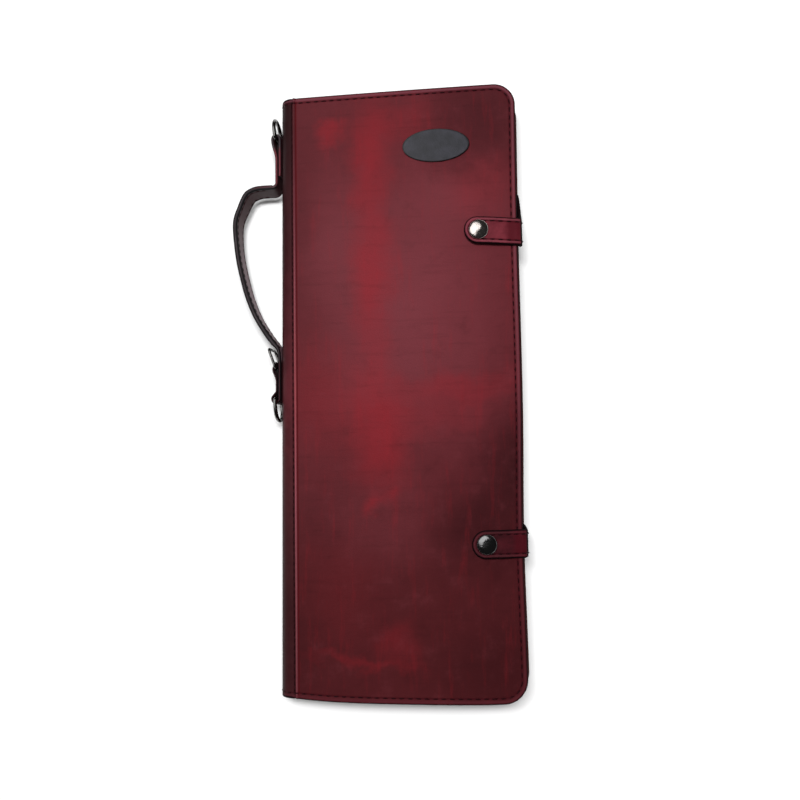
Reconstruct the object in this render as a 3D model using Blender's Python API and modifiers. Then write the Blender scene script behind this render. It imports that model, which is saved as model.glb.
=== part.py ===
"""Drumstick bag: a closed leather folio that lies on its back cover, with a strap handle on its spine.

Metres, +Z up. +Y runs along the spine to the bag's top end, and the spine and the handle are at -X.
The origin is the middle of the back cover's flat underside.
"""
import math

import bmesh
import bpy
from mathutils import Vector

# Clearance between pieces that touch
GAP = 0.0003

# Leather wrap
PANEL_LENGTH = 0.460
PANEL_WIDTH = 0.172
THICKNESS = 0.034
WALL = 0.003
CORNER_RADIUS = 0.0165
CROWN_TOP = 0.0010
CROWN_BOTTOM = 0.0035
BOTTOM_END_BULGE = 0.0021
SPINE_BULGE_TOP = 0.0119
SPINE_BULGE_BOTTOM = 0.0142
SPINE_SQUARENESS = 2.3
RIDGE_WIDTH = 0.0034
RIDGE_HEIGHT = 0.0011

# Closing tabs and their snaps
TAB_WIDTH = 0.020
TAB_THICKNESS = 0.0028
TAB_REACH = 0.0396
TAB_PULL = 0.0014
TAB_PULL_LENGTH = 0.110
TAB_EDGE_GAP = 0.0009
TAB_FOLD_RADIUS = 0.0014
TAB_BASE_LENGTH = 0.034
TAB_BASE_RADIUS = 0.003
TAB_TUCK = 0.0026
SNAP_LIFT = 0.0020
SNAP_INSET = 0.0107
CAP_RADIUS = 0.0075
CAP_HEIGHT = 0.0034
CAP_RIM_HEIGHT = 0.00075
STUD_RADIUS = 0.0052
STUD_NECK_RADIUS = 0.0037
STUD_FLANGE = 0.0005
POST_RADIUS = 0.0018

# Oval patch
PATCH_LENGTH = 0.0512
PATCH_HEIGHT = 0.0256
PATCH_THICKNESS = 0.0014
PATCH_FROM_EDGE = 0.0603
PATCH_FROM_TOP = 0.0454
PATCH_SIDES = 40

# Carrying handle, one strap from ring to ring
STRAP_WIDTH = 0.016
STRAP_LAYER = 0.0023
STRAP_RETURN = 0.0016
HANDLE_THICKNESS = 0.0038
HANDLE_SPAN = 0.1292
HANDLE_REACH = 0.0374
HANDLE_ROOT_FROM_TOP = 0.0684
HANDLE_ROOT_RADIUS = 0.0042
HANDLE_ROOT_TWIST = math.radians(-12)
HANDLE_TWIST_FADE = 0.30
HANDLE_LANDING = 1.0453
RETURN_UPPER = 0.030
LOOP_EASE = 0.017
RETURN_END_PAST_LINK = 0.005

# Rings, link and rivets
RING_WIRE = 0.0030
RING_WIDTH = 0.0173
RING_REACH = 0.0170
RING_ABOVE_HANDLE = 0.0401
RING_BELOW_RIVET = 0.0096
RING_UPPER_LEAN = math.radians(6.4)
RING_LOWER_LEAN = math.radians(-3.0)
LINK_WIRE = 0.0022
LINK_LENGTH = 0.0163
LINK_BELOW_HANDLE = 0.00745
LINK_LEAN = math.radians(20)
WIRE_CORNER = 0.0028
RIVET_POST_RADIUS = 0.0015
RIVET_HEAD_RADIUS = 0.0032
RIVET_HEAD_HEIGHT = 0.0011
RIVET_RIM_HEIGHT = 0.0004
RIVET_BACK_THICKNESS = 0.0008
RIVET_ABOVE_HANDLE = 0.0204
RIVET_BELOW_LINK = 0.0137

# Across the ridge, from the front panel to the spine: shares of RIDGE_WIDTH and RIDGE_HEIGHT
RIDGE_ROWS = (
    {"across": 1.0, "rise": -0.30},
    {"across": 0.78, "rise": -0.05},
    {"across": 0.55, "rise": 0.70},
    {"across": 0.32, "rise": 1.0},
    {"across": 0.10, "rise": 0.55},
    {"across": 0.0, "rise": -0.10},
)

# Along the handle's bow: shares of HANDLE_SPAN down from its root and of HANDLE_REACH out from the spine
HANDLE_ROWS = (
    {"down": 0.000, "out": 0.40},
    {"down": 0.004, "out": 0.57},
    {"down": 0.024, "out": 0.73},
    {"down": 0.062, "out": 0.82},
    {"down": 0.114, "out": 0.90},
    {"down": 0.164, "out": 0.97},
    {"down": 0.220, "out": 1.00},
    {"down": 0.320, "out": 0.985},
    {"down": 0.435, "out": 0.93},
    {"down": 0.550, "out": 0.84},
    {"down": 0.665, "out": 0.725},
    {"down": 0.780, "out": 0.56},
    {"down": 0.880, "out": 0.35},
    {"down": 0.945, "out": 0.185},
    {"down": 0.985, "out": 0.075},
)

# Each closing tab: its place down from the top end as a share of PANEL_LENGTH, its length in from the free
# edge as a share of TAB_REACH, the slant of its front, how far its base spreads up and down as shares of
# TAB_WIDTH, and how far it draws the free edges in as a share of TAB_PULL
TAB_ROWS = (
    {"name": "upper", "from_top": 0.2457, "reach": 1.0, "slant": -0.075, "up": 1.4, "down": -0.4, "pull": 0.36},
    {"name": "lower", "from_top": 0.7526, "reach": 0.96, "slant": 0.020, "up": 0.15, "down": 0.15, "pull": 1.0},
)

# The cap's rim, below its dome: shares of CAP_RADIUS and of CAP_RIM_HEIGHT
CAP_RIM_ROWS = (
    {"radius": 0.985, "height": 0.3},
    {"radius": 0.94, "height": 0.0},
)

# Rings of points over the patch, from under it to its top: shares of its size and of its thickness
PATCH_RING_ROWS = (
    {"size": 0.6, "height": 0.0},
    {"size": 1.0, "height": 0.0},
    {"size": 1.0, "height": 0.72},
    {"size": 0.975, "height": 1.0},
    {"size": 0.6, "height": 1.0},
)

# Shares of a panel's width from its fold to its free edge
PANEL_SHARES = (0.0, 0.03, 0.12, 0.26, 0.40, 0.55, 0.70, 0.84, 0.94, 1.0)

HALF_LENGTH = PANEL_LENGTH / 2
X_RIDGE = -PANEL_WIDTH / 2
X_EDGE = PANEL_WIDTH / 2
Z_MIDDLE = THICKNESS / 2
HANDLE_ROOT_Y = HALF_LENGTH - HANDLE_ROOT_FROM_TOP
HANDLE_END_Y = HANDLE_ROOT_Y - HANDLE_LANDING * HANDLE_SPAN
RING_UPPER_Y = HANDLE_ROOT_Y + RING_ABOVE_HANDLE
RIVET_UPPER_Y = HANDLE_ROOT_Y + RIVET_ABOVE_HANDLE
LINK_Y = HANDLE_END_Y - LINK_BELOW_HANDLE
RIVET_LOWER_Y = LINK_Y - RIVET_BELOW_LINK
RING_LOWER_Y = RIVET_LOWER_Y - RING_BELOW_RIVET

CORNER_STEPS = 5
LENGTH_STEPS = 16
SPINE_STEPS = 12
ROUND_SIDES = 28

LEATHER = {"color": (0.115, 0.016, 0.022, 1), "roughness": 0.45, "metallic": 0.0}
STRAP_LEATHER = {"color": (0.055, 0.016, 0.018, 1), "roughness": 0.5, "metallic": 0.0}
PATCH_LEATHER = {"color": (0.018, 0.018, 0.022, 1), "roughness": 0.55, "metallic": 0.0}
NICKEL = {"color": (0.35, 0.34, 0.33, 1), "roughness": 0.2, "metallic": 1.0}


def clear_scene():
    for item in list(bpy.data.objects):
        bpy.data.objects.remove(item, do_unlink=True)


def new_collection(name):
    collection = bpy.data.collections.new(name)
    bpy.context.scene.collection.children.link(collection)
    return collection


def make_material(name, look):
    material = bpy.data.materials.new(name)
    material.use_nodes = True
    shader = material.node_tree.nodes["Principled BSDF"]
    shader.inputs["Base Color"].default_value = look["color"]
    shader.inputs["Roughness"].default_value = look["roughness"]
    shader.inputs["Metallic"].default_value = look["metallic"]
    material.diffuse_color = look["color"]
    return material


def add_object(name, mesh, look):
    item = bpy.data.objects.new(name, mesh)
    parts.objects.link(item)
    item.data.materials.append(make_material(name, look))
    mesh.shade_smooth()
    mesh.set_sharp_from_angle(angle=math.radians(35))
    return item


def mesh_from(name, points, faces):
    mesh = bpy.data.meshes.new(name)
    mesh.from_pydata([tuple(point) for point in points], [], faces)
    mesh.update()
    return mesh


def sheet_solid(name, outer, inner, look):
    """A wall between two grids of points, closed round its rim. Outer points face out."""
    rows = len(outer)
    columns = len(outer[0])
    points = [point for row in outer for point in row]
    points += [point for row in inner for point in row]
    below = rows * columns

    def at(row, column, side):
        return side * below + row * columns + column

    faces = []
    for row in range(rows - 1):
        for column in range(columns - 1):
            square = [(row, column), (row + 1, column), (row + 1, column + 1), (row, column + 1)]
            faces.append([at(r, c, 0) for r, c in square])
            faces.append([at(r, c, 1) for r, c in reversed(square)])
    rim = [(0, column) for column in range(columns)]
    rim += [(row, columns - 1) for row in range(1, rows)]
    rim += [(rows - 1, column) for column in range(columns - 2, -1, -1)]
    rim += [(row, 0) for row in range(rows - 2, 0, -1)]
    for here, there in zip(rim, rim[1:] + rim[:1]):
        faces.append([at(*here, 0), at(*there, 0), at(*there, 1), at(*here, 1)])
    mesh = mesh_from(name, points, faces)
    return add_object(name, mesh, look)


def face_outwards(mesh):
    work = bmesh.new()
    work.from_mesh(mesh)
    bmesh.ops.recalc_face_normals(work, faces=work.faces)
    work.to_mesh(mesh)
    work.free()


def turned(name, profile, look):
    """A piece turned about Z from (radius, height) rows that run down its outer side."""
    points = [(radius, 0, height) for radius, height in profile]
    edges = [(index, index + 1) for index in range(len(points) - 1)]
    mesh = bpy.data.meshes.new(name)
    mesh.from_pydata(points, edges, [])
    item = add_object(name, mesh, look)
    screw = item.modifiers.new("turn", "SCREW")
    screw.steps = ROUND_SIDES
    screw.render_steps = ROUND_SIDES
    screw.use_merge_vertices = True
    screw.merge_threshold = 0.00001
    return item


def drill(item, name, place, radius, length, axis):
    """Cuts a round hole through a piece."""
    mesh = bpy.data.meshes.new(name)
    work = bmesh.new()
    bmesh.ops.create_cone(
        work, cap_ends=True, segments=ROUND_SIDES // 2, radius1=radius, radius2=radius, depth=length
    )
    work.to_mesh(mesh)
    work.free()
    cutter = bpy.data.objects.new(name, mesh)
    cutters.objects.link(cutter)
    cutter.location = place
    cutter.rotation_euler = axis.to_track_quat("Z", "Y").to_euler()
    cutter.hide_render = True
    cutter.display_type = "WIRE"
    cut = item.modifiers.new(name, "BOOLEAN")
    cut.operation = "DIFFERENCE"
    cut.solver = "EXACT"
    cut.object = cutter


def arc(centre, radius, start, end, steps):
    """Points on a circle from one angle to another, in degrees."""
    angles = [math.radians(start + (end - start) * step / steps) for step in range(steps + 1)]
    return [(centre[0] + radius * math.cos(a), centre[1] + radius * math.sin(a)) for a in angles]


def ease(start, end, steps):
    """An S-curve along Y between two straight runs, without its first point."""
    run = []
    for step in range(1, steps + 1):
        share = step / steps
        across = (1 - math.cos(math.pi * share)) / 2
        run.append((start[0] + (end[0] - start[0]) * across, start[1] + (end[1] - start[1]) * share))
    return run


def smooth_through(points, steps):
    """A curve through the points, with the given number of steps between neighbours."""
    padded = [points[0]] + list(points) + [points[-1]]
    curve = []
    for before, start, end, after in zip(padded, padded[1:], padded[2:], padded[3:]):
        for step in range(steps):
            t = step / steps
            weights = (
                (-t + 2 * t**2 - t**3) / 2,
                (2 - 5 * t**2 + 3 * t**3) / 2,
                (t + 4 * t**2 - 3 * t**3) / 2,
                (-t**2 + t**3) / 2,
            )
            corners = (before, start, end, after)
            curve.append(tuple(sum(w * p[i] for w, p in zip(weights, corners)) for i in range(len(start))))
    return curve + [tuple(points[-1])]


def hump(x):
    """1 in the middle of a panel's width, 0 at the ridge, the edge and on the spine."""
    share = max(-1.0, min(1.0, x / X_EDGE))
    return 1 - share**2


def along(y, top, bottom):
    """A size that changes evenly from the bag's top end to its bottom end."""
    return bottom + (top - bottom) * (y + HALF_LENGTH) / PANEL_LENGTH


def panel_top(x, y):
    """Height of the front panel's outer face."""
    return THICKNESS + along(y, CROWN_TOP, CROWN_BOTTOM) * hump(x)


def spine_bulge(y):
    return along(y, SPINE_BULGE_TOP, SPINE_BULGE_BOTTOM)


def crest_x(y):
    """X of the spine's outermost line."""
    return X_RIDGE - spine_bulge(y)


def bulged(x, y, z):
    """A panel's point, with the bottom end cut in a slight, flat curve."""
    share = max(0.0, -y / HALF_LENGTH)
    flat = 1 - (1 - hump(x)) ** 2
    return Vector((x, y - BOTTOM_END_BULGE * share**6 * flat, z))


def edge_pull(y):
    """How far the closing tabs draw the free edges in."""
    pull = 0.0
    for row in TAB_ROWS:
        share = min(1.0, abs(y - tab_snap_y(row)) / TAB_PULL_LENGTH)
        pull += row["pull"] * TAB_PULL * (1 + math.cos(math.pi * share)) / 2
    return pull


def spine_point(angle, bulge, half_height):
    """A point of the spine's round, from +90 at the front ridge to -90 at the back one."""
    power = 2 / SPINE_SQUARENESS
    across = abs(math.cos(angle)) ** power
    rise = abs(math.sin(angle)) ** power
    return X_RIDGE - bulge * across, Z_MIDDLE + math.copysign(half_height * rise, angle)


def cover_section(y, x_edge):
    """Outer and inner points of the wrap at one place along it, from front edge to back edge."""
    x_fold = X_RIDGE + RIDGE_WIDTH
    outer = []
    inner = []
    for share in reversed(PANEL_SHARES):
        x = x_fold + share * (x_edge - x_fold)
        z = panel_top(x, y)
        if share == 0.0:
            z += RIDGE_ROWS[0]["rise"] * RIDGE_HEIGHT
        outer.append((x, z))
        inner.append((x, panel_top(x, y) - WALL))
    for row in RIDGE_ROWS[1:]:
        x = X_RIDGE + row["across"] * RIDGE_WIDTH
        outer.append((x, THICKNESS + row["rise"] * RIDGE_HEIGHT))
        inner.append((x, THICKNESS - WALL))
    for step in range(1, SPINE_STEPS):
        angle = math.radians(90 - 180 * step / SPINE_STEPS)
        outer.append(spine_point(angle, spine_bulge(y), Z_MIDDLE))
        inner.append(spine_point(angle, spine_bulge(y) - WALL, Z_MIDDLE - WALL))
    for row in reversed(RIDGE_ROWS):
        x = X_RIDGE + row["across"] * RIDGE_WIDTH
        outer.append((x, 0.0))
        inner.append((x, WALL))
    for share in PANEL_SHARES[1:]:
        x = x_fold + share * (x_edge - x_fold)
        outer.append((x, 0.0))
        inner.append((x, WALL))
    return [bulged(x, y, z) for x, z in outer], [bulged(x, y, z) for x, z in inner]


def cover_stations():
    """Places along the wrap, each with the free edge's X there, close together in the round corners."""
    straight = HALF_LENGTH - CORNER_RADIUS
    stations = []
    for step in range(CORNER_STEPS):
        angle = math.radians(90 - 90 * step / CORNER_STEPS)
        y = straight + CORNER_RADIUS * math.sin(angle)
        stations.append((y, X_EDGE - CORNER_RADIUS + CORNER_RADIUS * math.cos(angle)))
    middle = [(straight - 2 * straight * step / LENGTH_STEPS, X_EDGE) for step in range(LENGTH_STEPS + 1)]
    stations += middle + [(-y, x) for y, x in reversed(stations)]
    return [(y, x - edge_pull(y)) for y, x in stations]


def make_cover():
    outer = []
    inner = []
    for y, x_edge in cover_stations():
        outer_row, inner_row = cover_section(y, x_edge)
        outer.append(outer_row)
        inner.append(inner_row)
    cover = sheet_solid("cover", outer, inner, LEATHER)
    face_outwards(cover.data)
    return cover


def tab_snap_y(row):
    return HALF_LENGTH - row["from_top"] * PANEL_LENGTH


def tab_tip_x(row):
    return X_EDGE - row["reach"] * TAB_REACH


def snap_x(row):
    return tab_tip_x(row) + SNAP_INSET


def tab_path(row):
    """Middle line of a tab's thickness in X and Z: front tip, fold over the edge, side, base inside."""
    half = TAB_THICKNESS / 2
    edge = X_EDGE - edge_pull(tab_snap_y(row))
    tip_x = tab_tip_x(row)
    snap_z = panel_top(snap_x(row), tab_snap_y(row)) + SNAP_LIFT + half
    flat_end = snap_x(row) + CAP_RADIUS + 2 * GAP
    fold_z = THICKNESS + 3 * GAP + half
    side_x = edge + TAB_EDGE_GAP + half
    fold = TAB_FOLD_RADIUS + half
    base_z = WALL + GAP + half
    turn = TAB_BASE_RADIUS + half
    path = [(flat_end + (tip_x - flat_end) * share, snap_z) for share in (1.0, 0.75, 0.5, 0.25, 0.0)]
    path += [(x, z) for z, x in ease((snap_z, flat_end), (fold_z, side_x - fold), 5)][:-1]
    path += arc((side_x - fold, fold_z - fold), fold, 90, 0, 6)
    drop_top = fold_z - fold
    drop_end = base_z + turn
    for share in (0.25, 0.5, 0.75):
        path.append((side_x - TAB_TUCK * share**1.5, drop_top + (drop_end - drop_top) * share))
    turn_x = side_x - TAB_TUCK - turn
    path += arc((turn_x, drop_end), turn, 0, -90, 6)
    base_end = edge - TAB_BASE_LENGTH
    path += [(turn_x + (base_end - turn_x) * share, base_z) for share in (0.35, 0.7, 1.0)]
    return path


def make_tab(row):
    path = tab_path(row)
    half_width = TAB_WIDTH / 2
    half = TAB_THICKNESS / 2
    drop_top = THICKNESS - TAB_FOLD_RADIUS
    outer = []
    inner = []
    tip = []
    for angle in map(math.radians, (14, 35, 55, 75, 90)):
        tip.append((tab_tip_x(row) + half_width * (1 - math.cos(angle)), path[0][1], math.sin(angle)))
    body = [(x, z, 1.0) for x, z in path if x > tip[-1][0] + GAP or z < drop_top]
    points = tip + body
    for index, (x, z, width) in enumerate(points):
        before = points[max(index - 1, 0)]
        after = points[min(index + 1, len(points) - 1)]
        tangent = Vector((after[0] - before[0], 0, after[1] - before[1])).normalized()
        normal = Vector((-tangent.z, 0, tangent.x))
        middle_y = tab_snap_y(row) + row["slant"] * (x - snap_x(row))
        down = min(1.0, max(0.0, (drop_top - z) / (drop_top - WALL)))
        spread = down * down * (3 - 2 * down)
        high = middle_y + half_width * width + row["up"] * TAB_WIDTH * spread
        low = middle_y - half_width * width - row["down"] * TAB_WIDTH * spread
        line = [low + (high - low) * share for share in (0.0, 0.25, 0.5, 0.75, 1.0)]
        outer.append([Vector((x, y, z)) + normal * half for y in line])
        inner.append([Vector((x, y, z)) - normal * half for y in line])
    tab = sheet_solid("tab_" + row["name"], outer, inner, LEATHER)
    face_outwards(tab.data)
    place = Vector((snap_x(row), tab_snap_y(row), path[0][1]))
    drill(tab, "post_hole_" + row["name"], place, POST_RADIUS + GAP, 4 * TAB_THICKNESS, Vector((0, 0, 1)))
    return path[0][1]


def make_snap(tab_row, tab_z):
    """A snap: the domed cap with its post, and the plain stud under the tab."""
    seat = panel_top(snap_x(tab_row) - STUD_RADIUS, tab_snap_y(tab_row)) + GAP
    stud_top = tab_z - TAB_THICKNESS / 2 - GAP
    under = tab_z + TAB_THICKNESS / 2 + GAP
    post_end = seat + STUD_FLANGE + GAP
    dome = CAP_HEIGHT - CAP_RIM_HEIGHT
    profile = []
    for step in range(8):
        angle = math.radians(90 * step / 7)
        profile.append((CAP_RADIUS * math.sin(angle), under + CAP_RIM_HEIGHT + dome * math.cos(angle)))
    profile += [(row["radius"] * CAP_RADIUS, under + row["height"] * CAP_RIM_HEIGHT) for row in CAP_RIM_ROWS]
    profile += [(POST_RADIUS, under), (POST_RADIUS, post_end), (0.0, post_end)]
    cap = turned("cap_" + tab_row["name"], profile, NICKEL)
    bore = POST_RADIUS + GAP
    floor = seat + STUD_FLANGE
    stud_profile = [(0.0, floor), (bore, floor), (bore, stud_top), (STUD_NECK_RADIUS, stud_top)]
    stud_profile += [(STUD_NECK_RADIUS, floor), (STUD_RADIUS, floor), (STUD_RADIUS, seat), (0.0, seat)]
    stud = turned("stud_" + tab_row["name"], stud_profile, NICKEL)
    for item in (cap, stud):
        item.location = (snap_x(tab_row), tab_snap_y(tab_row), 0)


def make_patch():
    """The oval patch, which follows the front panel's crown."""
    middle = Vector((X_EDGE - PATCH_FROM_EDGE, HALF_LENGTH - PATCH_FROM_TOP, 0))

    def ring(size, height):
        points = []
        for step in range(PATCH_SIDES):
            angle = 2 * math.pi * step / PATCH_SIDES
            x = middle.x + PATCH_LENGTH / 2 * size * math.cos(angle)
            y = middle.y + PATCH_HEIGHT / 2 * size * math.sin(angle)
            points.append((x, y, panel_top(x, y) + GAP + height * PATCH_THICKNESS))
        return points

    levels = [ring(row["size"], row["height"]) for row in PATCH_RING_ROWS]
    points = [point for level in levels for point in level]
    faces = []
    for level in range(len(levels) - 1):
        for step in range(PATCH_SIDES):
            following = (step + 1) % PATCH_SIDES
            here = level * PATCH_SIDES
            there = here + PATCH_SIDES
            faces.append([here + step, here + following, there + following, there + step])
    ends = []
    for height in (0.0, PATCH_THICKNESS):
        ends.append(len(points))
        points.append((middle.x, middle.y, panel_top(middle.x, middle.y) + GAP + height))
    last = (len(levels) - 1) * PATCH_SIDES
    for step in range(PATCH_SIDES):
        following = (step + 1) % PATCH_SIDES
        faces.append([ends[0], following, step])
        faces.append([ends[1], last + step, last + following])
    patch = add_object("patch", mesh_from("patch", points, faces), PATCH_LEATHER)
    face_outwards(patch.data)


def inner_layer_x(y):
    """Middle of the strap layer that lies on the spine."""
    return crest_x(y) - GAP - STRAP_LAYER / 2


def outer_layer_x(y, layer):
    """Middle of a second layer, of the given thickness, on top of the first."""
    return inner_layer_x(y) - STRAP_LAYER / 2 - GAP - layer / 2


def loop_radius(wire, layer):
    return wire / 2 + GAP + layer / 2


def ring_bar(y):
    """Middle of a ring's bar, in the strap's fold."""
    return inner_layer_x(y) - loop_radius(RING_WIRE, STRAP_LAYER), y


def link_bar():
    """Middle of the link's lower bar, under the strap's returned end."""
    return inner_layer_x(LINK_Y) - STRAP_LAYER / 2 - GAP - LINK_WIRE / 2, LINK_Y


def with_layer(points, layer):
    return [(x, y, layer, 0.0) for x, y in points]


def handle_path():
    """The strap's middle line as rows of x, y, thickness and twist, from its upper end to its lower one."""
    upper_x, upper_y = ring_bar(RING_UPPER_Y)
    lower_x, lower_y = ring_bar(RING_LOWER_Y)
    radius = loop_radius(RING_WIRE, STRAP_LAYER)

    path = with_layer([(upper_x + radius, upper_y - RETURN_UPPER * share) for share in (1.0, 0.5)], STRAP_LAYER)
    path += with_layer(arc((upper_x, upper_y), radius, 0, 180, 8), STRAP_LAYER)
    down_x = outer_layer_x(upper_y, STRAP_LAYER)
    eased = (down_x, upper_y - LOOP_EASE)
    path += with_layer(ease((upper_x - radius, upper_y), eased, 6), STRAP_LAYER)
    bend = (down_x - HANDLE_ROOT_RADIUS, HANDLE_ROOT_Y + HANDLE_ROOT_RADIUS)
    path += with_layer([(down_x, (eased[1] + bend[1]) / 2)], STRAP_LAYER)
    corner = arc(bend, HANDLE_ROOT_RADIUS, 0, -90, 6)
    for step, (x, y) in enumerate(corner):
        share = step / (len(corner) - 1)
        layer = STRAP_LAYER + (HANDLE_THICKNESS - STRAP_LAYER) * share
        path.append((x, y, layer, HANDLE_ROOT_TWIST * share))

    rows = []
    for row in HANDLE_ROWS:
        y = HANDLE_ROOT_Y - row["down"] * HANDLE_SPAN
        fade = max(0.0, 1 - row["down"] / HANDLE_TWIST_FADE)
        rows.append((crest_x(y) - row["out"] * HANDLE_REACH, y, HANDLE_THICKNESS, HANDLE_ROOT_TWIST * fade))
    landing = (inner_layer_x(HANDLE_END_Y), HANDLE_END_Y, STRAP_LAYER, 0.0)
    thin = (rows[-1][0], rows[-1][1], (HANDLE_THICKNESS + 2 * STRAP_LAYER) / 3, 0.0)
    path += smooth_through(rows[:-1] + [thin, landing], 3)

    path += with_layer([(lower_x + radius, lower_y)], STRAP_LAYER)
    fold = arc((lower_x, lower_y), radius, 0, -180, 8)[1:]
    path += with_layer(fold[:-1], STRAP_LAYER)
    path += with_layer(fold[-1:], STRAP_RETURN)
    link_x, link_y = link_bar()
    waist = (outer_layer_x(RIVET_LOWER_Y, STRAP_RETURN), RIVET_LOWER_Y)
    over = (link_x - loop_radius(LINK_WIRE, STRAP_RETURN) - GAP, link_y)
    end_y = link_y + RETURN_END_PAST_LINK
    end = (outer_layer_x(end_y, STRAP_RETURN) - GAP, end_y)
    flat = RIVET_HEAD_RADIUS + GAP
    path += with_layer(ease(path[-1][:2], (waist[0], RIVET_LOWER_Y - flat), 4), STRAP_RETURN)
    path += with_layer([(waist[0], RIVET_LOWER_Y + flat)], STRAP_RETURN)
    path += with_layer(ease((waist[0], RIVET_LOWER_Y + flat), over, 5), STRAP_RETURN)
    knee = (over[0] + (end[0] - over[0]) / 4, link_y + RETURN_END_PAST_LINK / 3)
    path += with_layer([knee, end], STRAP_RETURN)
    return path


def make_handle():
    path = handle_path()
    rings = []
    for index, (x, y, layer, twist) in enumerate(path):
        before = path[max(index - 1, 0)]
        after = path[min(index + 1, len(path) - 1)]
        tangent = Vector((after[0] - before[0], after[1] - before[1], 0)).normalized()
        side = Vector((tangent.y, -tangent.x, 0))
        up = Vector((0, 0, 1))
        across = side * math.cos(twist) + up * math.sin(twist)
        rise = up * math.cos(twist) - side * math.sin(twist)
        middle = Vector((x, y, Z_MIDDLE))
        corners = [(1, 1), (1, -1), (-1, -1), (-1, 1)]
        rings.append([middle + across * (a * layer / 2) + rise * (b * STRAP_WIDTH / 2) for a, b in corners])
    points = [point for ring in rings for point in ring]
    faces = [[0, 1, 2, 3], [len(points) - 4 + i for i in (3, 2, 1, 0)]]
    for index in range(len(rings) - 1):
        for side in range(4):
            here = 4 * index
            following = (side + 1) % 4
            faces.append([here + side, here + following, here + 4 + following, here + 4 + side])
    handle = add_object("handle", mesh_from("handle", points, faces), STRAP_LEATHER)
    face_outwards(handle.data)
    return handle


def wire_loop(name, outline, wire, bar, lean):
    """A closed wire loop that hangs on its bar. The outline's rows are (along the loop, across it)."""
    curve = bpy.data.curves.new(name, "CURVE")
    curve.dimensions = "3D"
    curve.bevel_depth = wire / 2
    curve.bevel_resolution = 2
    curve.use_fill_caps = True
    spline = curve.splines.new("POLY")
    spline.points.add(len(outline) - 1)
    for point, (reach, across) in zip(spline.points, outline):
        point.co = (0, reach, across, 1)
    spline.use_cyclic_u = True
    item = bpy.data.objects.new(name, curve)
    curve.materials.append(make_material(name, NICKEL))
    parts.objects.link(item)
    item.location = (bar[0], bar[1], Z_MIDDLE)
    item.rotation_euler = (0, 0, lean)


def make_rings():
    """D-rings: a straight bar in the strap's fold and a round bow past it."""
    half = (RING_WIDTH + RING_WIRE) / 2
    for name, y, lean, way in (
        ("ring_upper", RING_UPPER_Y, RING_UPPER_LEAN, 1),
        ("ring_lower", RING_LOWER_Y, RING_LOWER_LEAN, -1),
    ):
        bow = arc((RING_REACH - half, 0), half, -90, 90, 14)
        low = arc((WIRE_CORNER, half - WIRE_CORNER), WIRE_CORNER, 90, 180, 3)
        high = arc((WIRE_CORNER, -half + WIRE_CORNER), WIRE_CORNER, 180, 270, 3)
        outline = [(way * reach, across) for reach, across in bow + low + high]
        wire_loop(name, outline, RING_WIRE, ring_bar(y), way * lean)


def make_link():
    half = (RING_WIDTH + LINK_WIRE) / 2
    corners = (
        (LINK_LENGTH - WIRE_CORNER, -half + WIRE_CORNER, -90),
        (LINK_LENGTH - WIRE_CORNER, half - WIRE_CORNER, 0),
        (WIRE_CORNER, half - WIRE_CORNER, 90),
        (WIRE_CORNER, -half + WIRE_CORNER, 180),
    )
    outline = []
    for reach, across, start in corners:
        outline += arc((reach, across), WIRE_CORNER, start, start + 90, 4)
    wire_loop("link", outline, LINK_WIRE, link_bar(), LINK_LEAN)


def spine_inside_x(y, height):
    """X of the spine's inner face, at a height from its middle."""
    share = min(1.0, height / (Z_MIDDLE - WALL))
    across = (1 - share**SPINE_SQUARENESS) ** (1 / SPINE_SQUARENESS)
    return X_RIDGE - (spine_bulge(y) - WALL) * across


def make_rivet(name, y, layer, cover, handle):
    """A rivet through the strap's layers and the spine: a domed head, a post and a flat head inside."""
    head_x = outer_layer_x(y, layer) - layer / 2 - GAP
    inside_x = spine_inside_x(y, RIVET_HEAD_RADIUS) + GAP
    length = inside_x - head_x
    profile = []
    for step in range(6):
        angle = math.radians(90 * step / 5)
        rise = RIVET_RIM_HEIGHT + (RIVET_HEAD_HEIGHT - RIVET_RIM_HEIGHT) * math.cos(angle)
        profile.append((RIVET_HEAD_RADIUS * math.sin(angle), rise))
    profile += [(RIVET_HEAD_RADIUS, 0.0), (RIVET_POST_RADIUS, 0.0)]
    profile += [(RIVET_POST_RADIUS, -length), (RIVET_HEAD_RADIUS, -length)]
    back = -length - RIVET_BACK_THICKNESS
    profile += [(RIVET_HEAD_RADIUS, back), (0.0, back)]
    rivet = turned(name, profile, NICKEL)
    rivet.location = (head_x, y, Z_MIDDLE)
    rivet.rotation_euler = (0, math.radians(-90), 0)
    middle = Vector(((head_x + inside_x) / 2, y, Z_MIDDLE))
    for item in (cover, handle):
        drill(item, name + "_hole_" + item.name, middle, RIVET_POST_RADIUS + GAP, 2 * length, Vector((1, 0, 0)))


clear_scene()
parts = new_collection("drumstick_bag")
cutters = new_collection("cutters")
cover_object = make_cover()
for tab_row in TAB_ROWS:
    make_snap(tab_row, make_tab(tab_row))
make_patch()
handle_object = make_handle()
make_rings()
make_link()
make_rivet("rivet_upper", RIVET_UPPER_Y, STRAP_LAYER, cover_object, handle_object)
make_rivet("rivet_lower", RIVET_LOWER_Y, STRAP_RETURN, cover_object, handle_object)
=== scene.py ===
"""The looks of a leather folio for drumsticks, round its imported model. Metres, +Z up, the spine at -X."""

from math import acos, copysign, cos, exp, hypot, pi, radians, sin, sqrt

import bpy
from mathutils import Matrix, Vector, noise


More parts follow.
